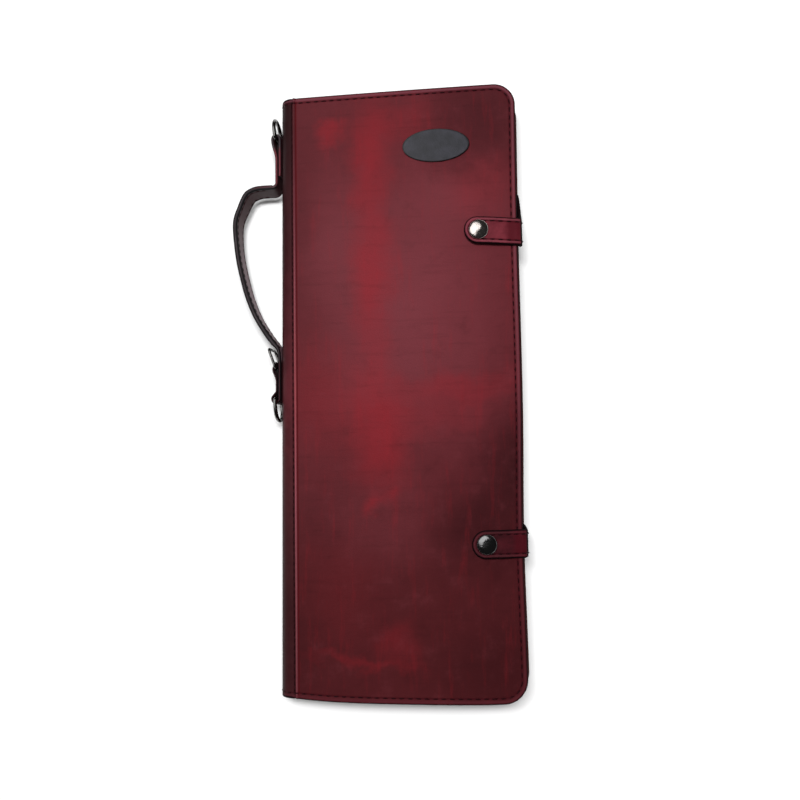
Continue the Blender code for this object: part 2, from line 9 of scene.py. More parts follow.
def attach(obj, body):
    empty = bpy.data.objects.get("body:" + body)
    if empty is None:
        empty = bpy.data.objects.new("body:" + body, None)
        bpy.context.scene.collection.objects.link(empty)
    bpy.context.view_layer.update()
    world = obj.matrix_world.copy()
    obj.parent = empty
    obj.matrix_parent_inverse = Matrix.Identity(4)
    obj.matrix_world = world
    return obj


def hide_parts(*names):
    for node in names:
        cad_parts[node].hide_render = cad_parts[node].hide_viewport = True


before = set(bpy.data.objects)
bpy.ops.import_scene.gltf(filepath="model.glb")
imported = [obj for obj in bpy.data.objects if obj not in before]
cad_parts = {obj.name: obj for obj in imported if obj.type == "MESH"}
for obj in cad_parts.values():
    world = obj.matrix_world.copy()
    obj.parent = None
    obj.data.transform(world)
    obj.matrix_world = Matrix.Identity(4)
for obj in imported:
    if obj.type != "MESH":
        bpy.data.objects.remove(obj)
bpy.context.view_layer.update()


# Camera
# It looks down on the bag from over its opening side, a little below its middle, as the photograph does.
CAMERA_PLACE = Vector((0.106, -0.0678, 0.7742))
CAMERA_LOOK = Vector((-0.1475, 0.0788, -0.9859))
CAMERA_UP = Vector((0.0254, 0.9968, 0.0758))
CAMERA_LENS = 45


def put_in_scene(name, data):
    """An object for a camera, a light or a mesh."""
    made = bpy.data.objects.new(name, data)
    bpy.context.scene.collection.objects.link(made)
    return made


camera_data = bpy.data.cameras.new("camera")
camera_data.lens = CAMERA_LENS
camera = put_in_scene("camera", camera_data)
camera_back = -CAMERA_LOOK.normalized()
camera_right = CAMERA_UP.cross(camera_back).normalized()
camera_turn = Matrix((camera_right, camera_back.cross(camera_right), camera_back)).transposed()
camera.matrix_world = Matrix.Translation(CAMERA_PLACE) @ camera_turn.to_4x4()
bpy.context.scene.camera = camera


# Cover
# One thick piece of waxed, pull-up leather goes round the sticks: front cover, rounded spine and back cover.
# It is open on three sides, sewn all round near its burnished cut edge, and pinched into a sewn ridge where the
# front cover meets the spine.
COVER_LENGTH = 0.460
COVER_WIDTH = 0.172
COVER_DEPTH = 0.034
WALL = 0.003
CORNER_RADIUS = 0.0165
CORNER_STEPS = 38
SIDE_STEPS = 72
CROWN_TOP = 0.0010
CROWN_BOTTOM = 0.0035
BOTTOM_BULGE = 0.0021
BOTTOM_BULGE_POWER = 6
SPINE_BULGE_TOP = 0.0119
SPINE_BULGE_BOTTOM = 0.0142
SPINE_POWER = 2.3
SPINE_STEPS = 11
HALF_LENGTH = COVER_LENGTH / 2
X_EDGE = COVER_WIDTH / 2
X_RIDGE = -X_EDGE
Z_MIDDLE = COVER_DEPTH / 2
TABS = (
    {"name": "upper", "y": 0.1170, "reach": 0.0396, "slant": -0.075, "up": 0.028, "down": -0.008,
     "pull": 0.0005},
    {"name": "lower", "y": -0.1162, "reach": 0.0380, "slant": 0.02, "up": 0.003, "down": 0.003,
     "pull": 0.0014},
)
PULL_LENGTH = 0.110
SEAM_INSET = 0.0042
SEAM_DEPTH = 0.00045
SEAM_HALF = 0.0006
RIM_ROUND = 0.0010
RIM_BULGE = 0.0003
RIM_LAYERS = 4
RIDGE_PLACE = 0.0006
RIDGE_RISE = 0.0011
RIDGE_HALF = 0.0008
CREASE_PLACE = 0.0021
CREASE_HALF = 0.0005
CREASE_DEPTH = 0.0003
FOOT_PLACE = -0.0013
FOOT_DEPTH = 0.0005
FOOT_HALF = 0.00045
EDGE_INSETS_MM = (
    0, 0.2, 0.45, 0.8, 1.2, 1.7, 2.3, 2.9, 3.3, 3.6, 3.9, 4.2, 4.5, 4.8, 5.1, 5.6, 6.4, 8, 11, 16, 22, 28
)
PANEL_STEPS = 17
RIDGE_STEPS_MM = (7.5, 5.5, 4.5, 3.9, 3.5, 3.1, 2.7, 2.3, 1.9, 1.6, 1.35, 1.1, 0.85, 0.6, 0.3, 0)
FOOT_STEPS_MM = (0.2, 0.45, 0.7, 0.95, 1.15, 1.35, 1.6, 1.9, 2.3, 2.9)
WAVE_HEIGHT = 0.0003
WAVE_SCALE = 11.0
ROOM_LEVEL = 1.37
LEATHER_GLOSS = 0.06


def along(y, top, bottom):
    """A size that changes evenly from the bag's top end to its bottom end."""
    return bottom + (top - bottom) * (y + HALF_LENGTH) / COVER_LENGTH


def hump(x):
    return 1 - max(-1.0, min(1.0, x / X_EDGE)) ** 2


def bell(offset, half):
    return exp(-((offset / half) ** 2))


def crown_height(x, y):
    """Height of the front cover's soft crown."""
    return COVER_DEPTH + along(y, CROWN_TOP, CROWN_BOTTOM) * hump(x)


def front_height(x, y):
    """Height of the front cover's face: its crown with the slight waves of a used hide."""
    return crown_height(x, y) + noise.noise(Vector((x, y, 0.0)) * WAVE_SCALE) * WAVE_HEIGHT * hump(x)


def free_edge(y):
    """X of the free edges, which the closing tabs draw in."""
    x = X_EDGE
    for row in TABS:
        share = min(1.0, abs(y - row["y"]) / PULL_LENGTH)
        x -= row["pull"] * (1 + cos(pi * share)) / 2
    return x


def bulged(x, y, z):
    """The point with the bottom end's slight curve."""
    share = max(0.0, -y / HALF_LENGTH)
    flat = 1 - (1 - hump(x)) ** 2
    return Vector((x, y - BOTTOM_BULGE * share**BOTTOM_BULGE_POWER * flat, z))


def inset_from_outline(x, y):
    """How far a point of a panel lies in from its cut edge."""
    from_end = HALF_LENGTH - abs(y)
    from_side = free_edge(y) - x
    if from_end < CORNER_RADIUS and from_side < CORNER_RADIUS:
        return CORNER_RADIUS - hypot(CORNER_RADIUS - from_end, CORNER_RADIUS - from_side)
    return min(from_end, from_side)


def rounded_off(inset, radius):
    """How far a rounded edge has dropped at that distance in from the cut."""
    if inset >= radius:
        return 0.0
    return radius - sqrt(max(0.0, radius**2 - (radius - inset) ** 2))


def seam_relief(inset):
    """The pressed line of the edge seam and the rounded rim, by the distance from the cut."""
    return -SEAM_DEPTH * bell(inset - SEAM_INSET, SEAM_HALF) - rounded_off(inset, RIM_ROUND)


def foot_relief(place):
    return -FOOT_DEPTH * bell(place - FOOT_PLACE, FOOT_HALF)


def ridge_relief(place):
    """The pinched ridge, its crease and its sewn foot, by the distance from the fold."""
    rise = RIDGE_RISE * bell(place - RIDGE_PLACE, RIDGE_HALF)
    rise -= CREASE_DEPTH * bell(place - CREASE_PLACE, CREASE_HALF)
    return rise + foot_relief(place)


def spine_bulge(y):
    return along(y, SPINE_BULGE_TOP, SPINE_BULGE_BOTTOM)


def spine_point(angle, bulge, half_height):
    power = 2 / SPINE_POWER
    x = X_RIDGE - bulge * abs(cos(angle)) ** power
    return x, Z_MIDDLE + copysign(half_height * abs(sin(angle)) ** power, angle)


def spine_angle(place, y):
    """The spine's angle at a distance past the ridge."""
    return acos((place / spine_bulge(y)) ** (SPINE_POWER / 2))


def wrap_row(y, edge_x):
    """Outer and inner points of the wrap at one place along it, with each point's distance from the cut."""
    places = [edge_x - inset / 1000 for inset in EDGE_INSETS_MM]
    near_ridge = [X_RIDGE + step / 1000 for step in RIDGE_STEPS_MM]
    run = near_ridge[0] - places[-1]
    places += [places[-1] + run * step / PANEL_STEPS for step in range(1, PANEL_STEPS)] + near_ridge
    front = []
    back = []
    for x in places:
        inset = inset_from_outline(x, y)
        relief = seam_relief(inset)
        under = rounded_off(inset, RIM_ROUND / 2)
        height = front_height(x, y)
        front.append((x, height + relief + ridge_relief(x - X_RIDGE), x, height - WALL + under, inset))
        back.append((x, -foot_relief(x - X_RIDGE) - relief, x, WALL - under, inset))
    angles = [spine_angle(step / 1000, y) for step in FOOT_STEPS_MM]
    angles += [angles[-1] * (1 - step / SPINE_STEPS) for step in range(1, SPINE_STEPS + 1)]
    angles += [-angle for angle in reversed(angles[:-1])]
    spine = []
    inset = HALF_LENGTH - abs(y)
    for angle in angles:
        x, z = spine_point(angle, spine_bulge(y), Z_MIDDLE)
        inner_x, inner_z = spine_point(angle, spine_bulge(y) - WALL, Z_MIDDLE - WALL)
        out = Vector((x - inner_x, z - inner_z)).normalized()
        fold_relief = ridge_relief if angle > 0 else foot_relief
        relief = seam_relief(inset) + fold_relief(x - X_RIDGE)
        spine.append((x + out.x * relief, z + out.y * relief, inner_x, inner_z, inset))
    return front + spine + back[::-1]


def wrap_stations():
    """Places along the wrap and the free edge's X at each, close together in the round corners."""
    straight = HALF_LENGTH - CORNER_RADIUS
    turns = [radians(90 - 90 * step / CORNER_STEPS) for step in range(CORNER_STEPS)]
    corner = [(straight + CORNER_RADIUS * sin(a), CORNER_RADIUS * (1 - cos(a))) for a in turns]
    places = corner + [(straight - 2 * straight * step / SIDE_STEPS, 0.0) for step in range(SIDE_STEPS + 1)]
    places += [(-y, cut_off) for y, cut_off in reversed(corner)]
    return [(y, free_edge(y) - cut_off) for y, cut_off in places]


def ring_faces(rings):
    """Faces from each ring of point numbers to the next, without doubled corners."""
    faces = []
    for upper, lower in zip(rings, rings[1:]):
        for step, corner in enumerate(upper):
            following = (step + 1) % len(upper)
            face = [corner, upper[following], lower[following], lower[step]]
            faces.append([spot for index, spot in enumerate(face) if spot != face[index - 1]])
    return faces


def solid_piece(name, points, faces, material, **marks):
    """A closed mesh as a piece, facing out and smooth. A mark gives each point a value for the material."""
    mesh = bpy.data.meshes.new(name)
    mesh.from_pydata(points, [], faces)
    for mark, values in marks.items():
        mesh.attributes.new(mark, "FLOAT", "POINT").data.foreach_set("value", values)
    mesh.validate()
    volume = 0.0
    for face in mesh.polygons:
        corners = [mesh.vertices[index].co for index in face.vertices]
        for second, third in zip(corners[1:], corners[2:]):
            volume += corners[0].dot(second.cross(third))
    if volume < 0:
        mesh.flip_normals()
    mesh.update()
    mesh.shade_smooth()
    mesh.materials.append(material)
    return put_in_scene(name, mesh)


def leather_sheet(name, outer, inner, insets, material):
    """A closed leather wall between two grids of points, with a rounded cut edge all round."""
    rows = len(outer)
    columns = len(outer[0])
    size = rows * columns
    points = [point for row in outer + inner for point in row]
    marks = [inset for row in insets for inset in row] * 2
    sides = [0.0] * size + [1.0] * size
    faces = []
    for row in range(rows - 1):
        for column in range(columns - 1):
            square = [row * columns + column, (row + 1) * columns + column]
            square += [square[1] + 1, square[0] + 1]
            faces.append(square)
            faces.append([size + corner for corner in reversed(square)])
    rim = [(0, column) for column in range(columns)]
    rim += [(row, columns - 1) for row in range(1, rows)]
    rim += [(rows - 1, column) for column in range(columns - 2, -1, -1)]
    rim += [(row, 0) for row in range(rows - 2, 0, -1)]
    layers = [[row * columns + column for row, column in rim]]
    for layer in range(1, RIM_LAYERS + 1):
        share = layer / (RIM_LAYERS + 1)
        layers.append([])
        for index, (row, column) in enumerate(rim):
            before = rim[index - 1]
            after = rim[(index + 1) % len(rim)]
            way = outer[after[0]][after[1]] - outer[before[0]][before[1]]
            thick = outer[row][column] - inner[row][column]
            out = thick.cross(way).normalized()
            layers[-1].append(len(points))
            points.append(outer[row][column] - thick * share + out * (RIM_BULGE * sin(pi * share)))
            marks.append(-RIM_ROUND)
            sides.append(0.0)
    layers.append([size + corner for corner in layers[0]])
    return solid_piece(name, points, faces + ring_faces(layers), material, inset=marks, inner_side=sides)


def dyed(red, green, blue):
    """A colour as it looks in the bright room, in the linear values that the nodes take."""
    linear = []
    for value in (red, green, blue):
        share = value / 255
        linear.append(share / 12.92 if share <= 0.04045 else ((share + 0.055) / 1.055) ** 2.4)
    return (*(value / ROOM_LEVEL for value in linear), 1.0)


def darker(colour, share):
    return (*(share * value for value in colour[:3]), 1.0)


def fill_inputs(tree, node, inputs):
    """Gives a node its inputs by name or number: each a value, or another node's output."""
    for key, value in inputs.items():
        if isinstance(value, bpy.types.NodeSocket):
            tree.links.new(value, node.inputs[key])
        else:
            node.inputs[key].default_value = value


def add_node(tree, kind, inputs=None, **settings):
    """A node with its settings and inputs."""
    made = tree.nodes.new(kind)
    for key, value in settings.items():
        setattr(made, key, value)
    fill_inputs(tree, made, inputs or {})
    return made


class Paint:
    """A material in the making, with a short call for each kind of node that the leather and metal need."""

    def __init__(self, name):
        self.material = bpy.data.materials.new(name)
        self.material.use_nodes = True
        self.tree = self.material.node_tree
        self.place = self.add("TexCoord").outputs["Object"]

    def add(self, kind, inputs=None, **settings):
        return add_node(self.tree, "ShaderNode" + kind, inputs, **settings)

    def split_place(self):
        return self.add("SeparateXYZ", {0: self.place}).outputs

    def mark(self, name):
        """The value that the piece's points carry under that name."""
        return self.add("Attribute", attribute_name=name).outputs["Fac"]

    def maths(self, operation, *values):
        return self.add("Math", dict(enumerate(values)), operation=operation).outputs[0]

    def vector_maths(self, operation, *values):
        return self.add("VectorMath", dict(enumerate(values)), operation=operation).outputs

    def step(self, value, low, high, out_low=0.0, out_high=1.0):
        """A soft step: out_low up to the low value, out_high from the high value on."""
        inputs = {0: value, 1: low, 2: high, 3: out_low, 4: out_high}
        return self.add("MapRange", inputs, interpolation_type="SMOOTHSTEP").outputs[0]

    def fall(self, value, low, high):
        return self.step(value, low, high, 1.0, 0.0)

    def line(self, value, centre, half, strength=None):
        """A soft line where a value is near the centre: 1 there, 0 at half its width, times the strength."""
        rising = self.step(value, centre - half, centre)
        made = self.maths("MULTIPLY", rising, self.fall(value, centre, centre + half))
        return made if strength is None else self.maths("MULTIPLY", made, strength)

    def noise(self, scale, detail=3.0, rough=0.55, stretch=None):
        place = self.place
        if stretch:
            place = self.add("Mapping", {"Vector": place, "Scale": stretch}).outputs[0]
        inputs = {"Vector": place, "Scale": scale, "Detail": detail, "Roughness": rough}
        return self.add("TexNoise", inputs).outputs

    def over(self, colour, *layers):
        """The colour with layers painted over it, each a mask and a tone."""
        for mask, tone in layers:
            colour = self.add("Mix", {0: mask, 6: colour, 7: tone}, data_type="RGBA").outputs[2]
        return colour

    def bump(self, height, strength, distance):
        made = self.add("Bump", {"Strength": strength, "Distance": distance, "Height": height})
        self.surface({"Normal": made.outputs[0]})

    def leather_grain(self):
        """The hide's fine pores and creases as bump."""
        pores = self.add("TexVoronoi", {"Vector": self.place, "Scale": 620.0, "Randomness": 1.0}).outputs[0]
        creases = self.noise(95.0, 5.0, 0.6, (0.45, 1.0, 1.0))[0]
        height = self.maths("MULTIPLY_ADD", pores, 0.6, self.noise(1500.0, 2.0)[0])
        self.bump(self.maths("MULTIPLY_ADD", creases, 2.2, height), 0.6, 0.00012)

    def surface(self, inputs):
        """Sets the shader's inputs and hands the material over."""
        fill_inputs(self.tree, self.tree.nodes["Principled BSDF"], inputs)
        return self.material


# The hide's shades: its two ends, the rubbed bright red, a haze that is mostly painted sheen (the light's broad
# reflection on the waxed hide), the darker clouds and mottling, painted shade for the spine's side, the lines
# pressed beside the fold (partly painted shade in their grooves), and the margin from its band of painted sheen
# to its dark rim
SHADES = {
    "top": dyed(96, 37, 43),
    "bottom": dyed(79, 28, 32),
    "bright": dyed(158, 32, 42),
    "sheen_and_haze": dyed(124, 56, 64),
    "dusk": dyed(44, 15, 18),
    "spine_side_shade": dyed(26, 12, 14),
    "foot": dyed(50, 16, 20),
    "crease": dyed(84, 14, 20),
    "margin_sheen_top": dyed(124, 66, 78),
    "margin_sheen_bottom": dyed(92, 38, 46),
    "seam": dyed(66, 14, 24),
    "rim": dyed(30, 13, 17),
    "inside": dyed(74, 40, 38),
}
# Soft clouds of one shade: X and Y of the middle, width and length in millimetres, turn in degrees, strength
CLOUDS = (
    # The haze clouds are painted sheen: the broad reflection of the light on the waxed hide.
    ("sheen_and_haze", 4, 66, 96, 148, 0, 0.80),
    ("sheen_and_haze", -52, 112, 44, 92, 0, 0.50),
    ("sheen_and_haze", 42, 142, 62, 44, 0, 0.45),
    ("sheen_and_haze", -34, 10, 46, 60, 0, 0.35),
    ("sheen_and_haze", -16, -100, 60, 60, 0, 0.26),
    ("dusk", 60, 208, 66, 56, 0, 0.52),
    ("dusk", 90, -62, 50, 74, -10, 0.90),
    ("dusk", 52, -98, 46, 52, -30, 0.62),
    ("dusk", 66, -128, 64, 44, 0, 0.34),
    ("dusk", 68, -205, 76, 72, 0, 0.50),
    ("dusk", -84, -190, 34, 90, 0, 0.26),
    ("dusk", -84, 150, 28, 110, 0, 0.18),
    ("dusk", 56, -50, 26, 34, 0, 0.16),
    ("dusk", 84, 172, 34, 40, 0, 0.20),
    ("bright", -25, 178, 26, 84, 0, 0.44),
    ("bright", -24, 84, 26, 90, 0, 0.46),
    ("bright", -20, -28, 34, 84, 6, 0.46),
    ("bright", -56, 197, 15, 14, 0, 0.42),
    ("bright", 36, 2, 80, 18, -2, 0.26),
    ("bright", 20, -18, 60, 26, 0, 0.18),
    ("bright", -62, -8, 52, 70, 0, 0.22),
    ("bright", -27, -91, 12, 14, 0, 0.35),
    ("bright", -12, -88, 10, 12, 0, 0.28),
    ("bright", -8, -185, 26, 28, 0, 0.20),
    ("bright", -36, -203, 60, 8, -2, 0.20),
    ("bright", -52, -150, 50, 60, 0, 0.08),
    ("bright", 58, 152, 40, 34, 20, 0.16),
    ("bright", 2, 206, 34, 30, 0, 0.20),
)
# Tones down the spine strip, and of the ridge beside it (rubbed wear with a painted highlight along its crest),
# by the distance along the bag in millimetres
SPINE_TONES = (
    {"y": -230, "strip": dyed(66, 29, 33), "ridge": dyed(124, 60, 68)},
    {"y": -160, "strip": dyed(60, 27, 30), "ridge": dyed(138, 74, 82)},
    {"y": -80, "strip": dyed(76, 35, 39), "ridge": dyed(158, 84, 94)},
    {"y": 0, "strip": dyed(96, 38, 45), "ridge": dyed(168, 84, 90)},
    {"y": 90, "strip": dyed(70, 29, 34), "ridge": dyed(142, 76, 84)},
    {"y": 150, "strip": dyed(59, 28, 31), "ridge": dyed(114, 58, 66)},
    {"y": 200, "strip": dyed(43, 20, 22), "ridge": dyed(88, 40, 44)},
)
PRESSED_TONE_HALF = 0.0009
RIDGE_TONE_HALF = 0.0013
MARGIN_SHEEN_INSET = 0.0021
MARGIN_SHEEN_HALF = 0.0014
SEAM_TONE_HALF = 0.0012


def tones_along(paint, along_y, part):
    """A colour that changes along the bag through the table's tones for one part."""
    low = SPINE_TONES[0]["y"]
    high = SPINE_TONES[-1]["y"]
    reach = paint.add("MapRange", {0: along_y, 1: low / 1000, 2: high / 1000, 3: 0.0, 4: 1.0})
    ramp = paint.add("ValToRGB", {0: reach.outputs[0]})
    elements = ramp.color_ramp.elements
    elements[0].color = SPINE_TONES[0][part]
    elements[1].color = SPINE_TONES[-1][part]
    for row in SPINE_TONES[1:-1]:
        elements.new((row["y"] - low) / (high - low)).color = row[part]
    return ramp.outputs[0]


paint = Paint("oxblood_pull_up_leather")
across_x, along_y, up_z = paint.split_place()
colour = paint.over(SHADES["bottom"], (paint.step(along_y, -0.17, -0.02), SHADES["top"]))
wander = paint.vector_maths("SUBTRACT", paint.noise(26.0, 4.0, 0.62)["Color"], (0.5, 0.5, 0.5))[0]
wander = paint.vector_maths("MULTIPLY_ADD", wander, (0.030, 0.055, 0.0), paint.place)[0]
for shade, x, y, width, length, turn, strength in CLOUDS:
    inputs = {
        "Vector": wander,
        "Location": (x / 1000, y / 1000, 0),
        "Rotation": (0, 0, radians(turn)),
        "Scale": (width / 1000, length / 1000, 1000),
    }
    mapped = paint.add("Mapping", inputs, vector_type="TEXTURE").outputs[0]
    reach = paint.vector_maths("LENGTH", mapped)["Value"]
    colour = paint.over(colour, (paint.step(reach, 0.0, 1.0, strength, 0.0), SHADES[shade]))
mottle = paint.noise(60.0, 6.0, 0.65)[0]
rubbed_along = paint.noise(30.0, 5.0, 0.7, (5.0, 0.6, 1.0))[0]
rubbed_across = paint.noise(34.0, 5.0, 0.7, (0.6, 6.0, 1.0))[0]
from_fold = paint.maths("SUBTRACT", across_x, X_RIDGE)
on_front = paint.step(up_z, 0.031, 0.033)
strip = paint.over(
    tones_along(paint, along_y, "strip"),
    (paint.step(mottle, 0.35, 0.65, 0.35, 0.0), SHADES["dusk"]),
    # Painted shade on the spine's outer side near its crest, where it turns sideways from the light.
    (paint.step(from_fold, -0.0115, -0.0085, 0.35, 0.0), SHADES["spine_side_shade"]),
)
inset = paint.mark("inset")
# A band of painted sheen on the raised margin inside the cut edge, lighter towards the top end.
margin_sheen = paint.over(SHADES["margin_sheen_bottom"], (paint.step(along_y, -0.15, 0.1), SHADES["margin_sheen_top"]))
rim = paint.maths("DIVIDE", inset, paint.step(from_fold, -0.004, -0.001, 0.0026, 0.0011))
colour = paint.over(
    colour,
    # Random lighter spots in the painted sheen's haze colour, then random dark mottling and rubbed streaks.
    (paint.step(mottle, 0.5, 0.8, 0.0, 0.22), SHADES["sheen_and_haze"]),
    (paint.step(mottle, 0.2, 0.5, 0.22, 0.0), SHADES["dusk"]),
    (paint.step(rubbed_along, 0.5, 0.8, 0.0, 0.2), SHADES["bright"]),
    (paint.step(rubbed_across, 0.25, 0.5, 0.16, 0.0), SHADES["dusk"]),
    (paint.fall(from_fold, -0.0008, 0.0), strip),
    # The pressed lines at the ridge's foot and beside its crease: partly darker pressed leather, partly painted
    # shade in their grooves.
    (paint.line(from_fold, FOOT_PLACE, PRESSED_TONE_HALF, 0.3), SHADES["foot"]),
    (paint.line(from_fold, CREASE_PLACE, PRESSED_TONE_HALF, on_front), SHADES["crease"]),
    # A painted highlight along the ridge's crest, together with its rubbed wear.
    (paint.line(from_fold, RIDGE_PLACE, RIDGE_TONE_HALF, on_front), tones_along(paint, along_y, "ridge")),
    # The margin's band of painted sheen.
    (paint.line(inset, MARGIN_SHEEN_INSET, MARGIN_SHEEN_HALF, 0.65), margin_sheen),
    (paint.line(inset, SEAM_INSET, SEAM_TONE_HALF, 0.6), SHADES["seam"]),
    (paint.fall(rim, 0.45, 1.0), SHADES["rim"]),
    (paint.mark("inner_side"), SHADES["inside"]),
)
wax = paint.step(mottle, 0.3, 0.7, 0.44, 0.56)
matt_rim = paint.maths("ADD", paint.step(inset, 0.0, 0.0012, 0.35, 0.0), wax)
paint.leather_grain()
cover_leather = paint.surface(
    {"Base Color": colour, "Roughness": matt_rim, "Specular IOR Level": LEATHER_GLOSS}
)

outer = []
inner = []
insets = []
for y, edge_x in wrap_stations():
    row = wrap_row(y, edge_x)
    outer.append([bulged(x, y, z) for x, z, inner_x, inner_z, inset in row])
    inner.append([bulged(inner_x, y, inner_z) for x, z, inner_x, inner_z, inset in row])
    insets.append([inset for x, z, inner_x, inner_z, inset in row])
cover = leather_sheet("cover_leather", outer, inner, insets, cover_leather)
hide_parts("cover")
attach(cover, "bag")


# Cover seams
# One row of thick waxed thread runs round the wrap near its cut edge, and one along each fold. Each stitch lies
# in a pressed line and dips into its hole at both ends.
STITCH_PITCH = 0.00615
STITCH_LENGTH = 0.0041
STITCH_SWAY = 0.06
STITCH_SEED = 7
THREAD = 0.0010
FOLD_PITCH = 0.0052
FOLD_SEAM_END = 0.006
SEAM_CLEAR = 0.00068
SEAM_CORNER_STEPS = 16
STITCH_INPUTS = {
    "Geometry": "Geometry", "Pitch": "Float", "Stitch length": "Float", "Thread": "Float", "Seed": "Int",
    "Thread material": "Material",
}


def stitch_row_tree():
    """Geometry Nodes that lay one stitch after another along a drawn line."""
    def add(kind, inputs=None, **settings):
        return add_node(tree, kind, inputs, **settings).outputs[0]

    tree = bpy.data.node_groups.new("stitch_row", "GeometryNodeTree")
    for name, kind in STITCH_INPUTS.items():
        tree.interface.new_socket(name, in_out="INPUT", socket_type="NodeSocket" + kind)
    tree.interface.new_socket("Geometry", in_out="OUTPUT", socket_type="NodeSocketGeometry")
    given = add_node(tree, "NodeGroupInput").outputs
    line = add("GeometryNodeMeshToCurve", {"Mesh": given["Geometry"]})
    spots = add("GeometryNodeResampleCurve", {"Curve": line, "Length": given["Pitch"]}, mode="LENGTH")
    ball = add("GeometryNodeMeshUVSphere", {"Segments": 8, "Rings": 7, "Radius": 0.5})
    size = add("ShaderNodeCombineXYZ", {0: given["Stitch length"], 1: given["Thread"], 2: given["Thread"]})
    stitch = add("GeometryNodeTransform", {"Geometry": ball, "Scale": size})
    inputs = {0: (-STITCH_SWAY,) * 3, 1: (STITCH_SWAY,) * 3, "Seed": given["Seed"]}
    sway = add("FunctionNodeRandomValue", inputs, data_type="FLOAT_VECTOR")
    way = add("ShaderNodeVectorMath", {0: add("GeometryNodeInputTangent"), 1: sway}, operation="ADD")
    turn = add("FunctionNodeAlignRotationToVector", {"Vector": way}, axis="X")
    laid = add("GeometryNodeInstanceOnPoints", {"Points": spots, "Instance": stitch, "Rotation": turn})
    whole = add("GeometryNodeRealizeInstances", {"Geometry": laid})
    smooth = add("GeometryNodeSetShadeSmooth", {"Geometry": whole})
    threaded = add("GeometryNodeSetMaterial", {"Geometry": smooth, "Material": given["Thread material"]})
    add_node(tree, "NodeGroupOutput", {0: threaded})
    return tree


def thread_material(colour):
    paint = Paint("waxed_thread")
    inputs = {"Vector": paint.place, "Scale": 420.0, "Distortion": 1.5}
    strands = paint.add("TexWave", inputs, bands_direction="DIAGONAL").outputs["Fac"]
    paint.bump(strands, 0.7, 0.0001)
    tone = paint.over(darker(colour, 0.55), (strands, colour))
    return paint.surface({"Base Color": tone, "Roughness": 0.6, "Specular IOR Level": 0.12})


stitch_rows = stitch_row_tree()
waxed_thread = thread_material(dyed(44, 7, 14))


def sew(name, lines, pitch, length, thread):
    """Stitches along lines of points, as one piece that moves with the bag."""
    points = []
    edges = []
    for line in lines:
        edges += [(len(points) + step, len(points) + step + 1) for step in range(len(line) - 1)]
        points += line
    mesh = bpy.data.meshes.new(name)
    mesh.from_pydata(points, edges, [])
    drawn = put_in_scene(name + "_line", mesh)
    modifier = drawn.modifiers.new("stitches", "NODES")
    modifier.node_group = stitch_rows
    values = {
        "Pitch": pitch, "Stitch length": length, "Thread": thread, "Seed": STITCH_SEED,
        "Thread material": waxed_thread,
    }
    for socket in stitch_rows.interface.items_tree:
        if socket.name in values:
            modifier[socket.identifier] = values[socket.name]
    graph = bpy.context.evaluated_depsgraph_get()
    sewn = bpy.data.meshes.new_from_object(drawn.evaluated_get(graph))
    bpy.data.objects.remove(drawn, do_unlink=True)
    piece = put_in_scene(name, sewn)
    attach(piece, "bag")


def edge_seam_half(side):
    """The edge seam's line on the front cover (side 1) or the back one (side -1), from top fold to bottom."""
    def lifted(x, y):
        if side < 0:
            return bulged(x, y, SEAM_CLEAR)
        height = front_height(x, y) + ridge_relief(x - X_RIDGE) - SEAM_DEPTH + THREAD / 3
        return bulged(x, y, height)

    def corner(end, start_angle, way):
        for step in range(SEAM_CORNER_STEPS):
            angle = radians(start_angle + way * 90 * step / SEAM_CORNER_STEPS)
            y = end * (straight + radius * sin(angle))
            yield free_edge(y) - CORNER_RADIUS + radius * cos(angle), y

    radius = CORNER_RADIUS - SEAM_INSET
    straight = HALF_LENGTH - CORNER_RADIUS
    end_y = HALF_LENGTH - SEAM_INSET
    run = X_EDGE - CORNER_RADIUS - X_RIDGE
    steps = 90
    spots = [(X_RIDGE + run * step / steps, end_y) for step in range(steps)]
    spots += corner(1, 90, -1)
    side_steps = 220
    for y in (straight - 2 * straight * step / side_steps for step in range(side_steps)):
        spots.append((free_edge(y) - SEAM_INSET, y))
    spots += corner(-1, 0, 1)
    spots += [(X_EDGE - CORNER_RADIUS - run * step / steps, -end_y) for step in range(steps + 1)]
    return [lifted(x, y) for x, y in spots]


def spine_seam(y):
    """The edge seam's line round the spine's end."""
    line = []
    steps = 40
    for step in range(steps + 1):
        angle = radians(90 - 180 * step / steps)
        depth = SEAM_DEPTH - THREAD / 3
        x, z = spine_point(angle, spine_bulge(y) - depth, Z_MIDDLE - depth)
        line.append(Vector((x, y, max(z, SEAM_CLEAR))))
    return line


def fold_seam(side):
    """The line of stitches at the ridge's foot, or at the back fold."""
    line = []
    half_steps = 80
    for step in range(2 * half_steps + 1):
        y = (HALF_LENGTH - FOLD_SEAM_END) * (1 - step / half_steps)
        x, z = spine_point(side * spine_angle(-FOOT_PLACE, y), spine_bulge(y), Z_MIDDLE)
        line.append(Vector((x, y, max(z - side * (FOOT_DEPTH - THREAD / 3), SEAM_CLEAR))))
    return line


edge_lines = [edge_seam_half(1), edge_seam_half(-1)]
edge_lines += [spine_seam(HALF_LENGTH - SEAM_INSET), spine_seam(-HALF_LENGTH + SEAM_INSET)]
sew("cover_edge_stitches", edge_lines, STITCH_PITCH, STITCH_LENGTH, THREAD)
sew("cover_fold_stitches", [fold_seam(1), fold_seam(-1)], FOLD_PITCH, STITCH_LENGTH, THREAD)


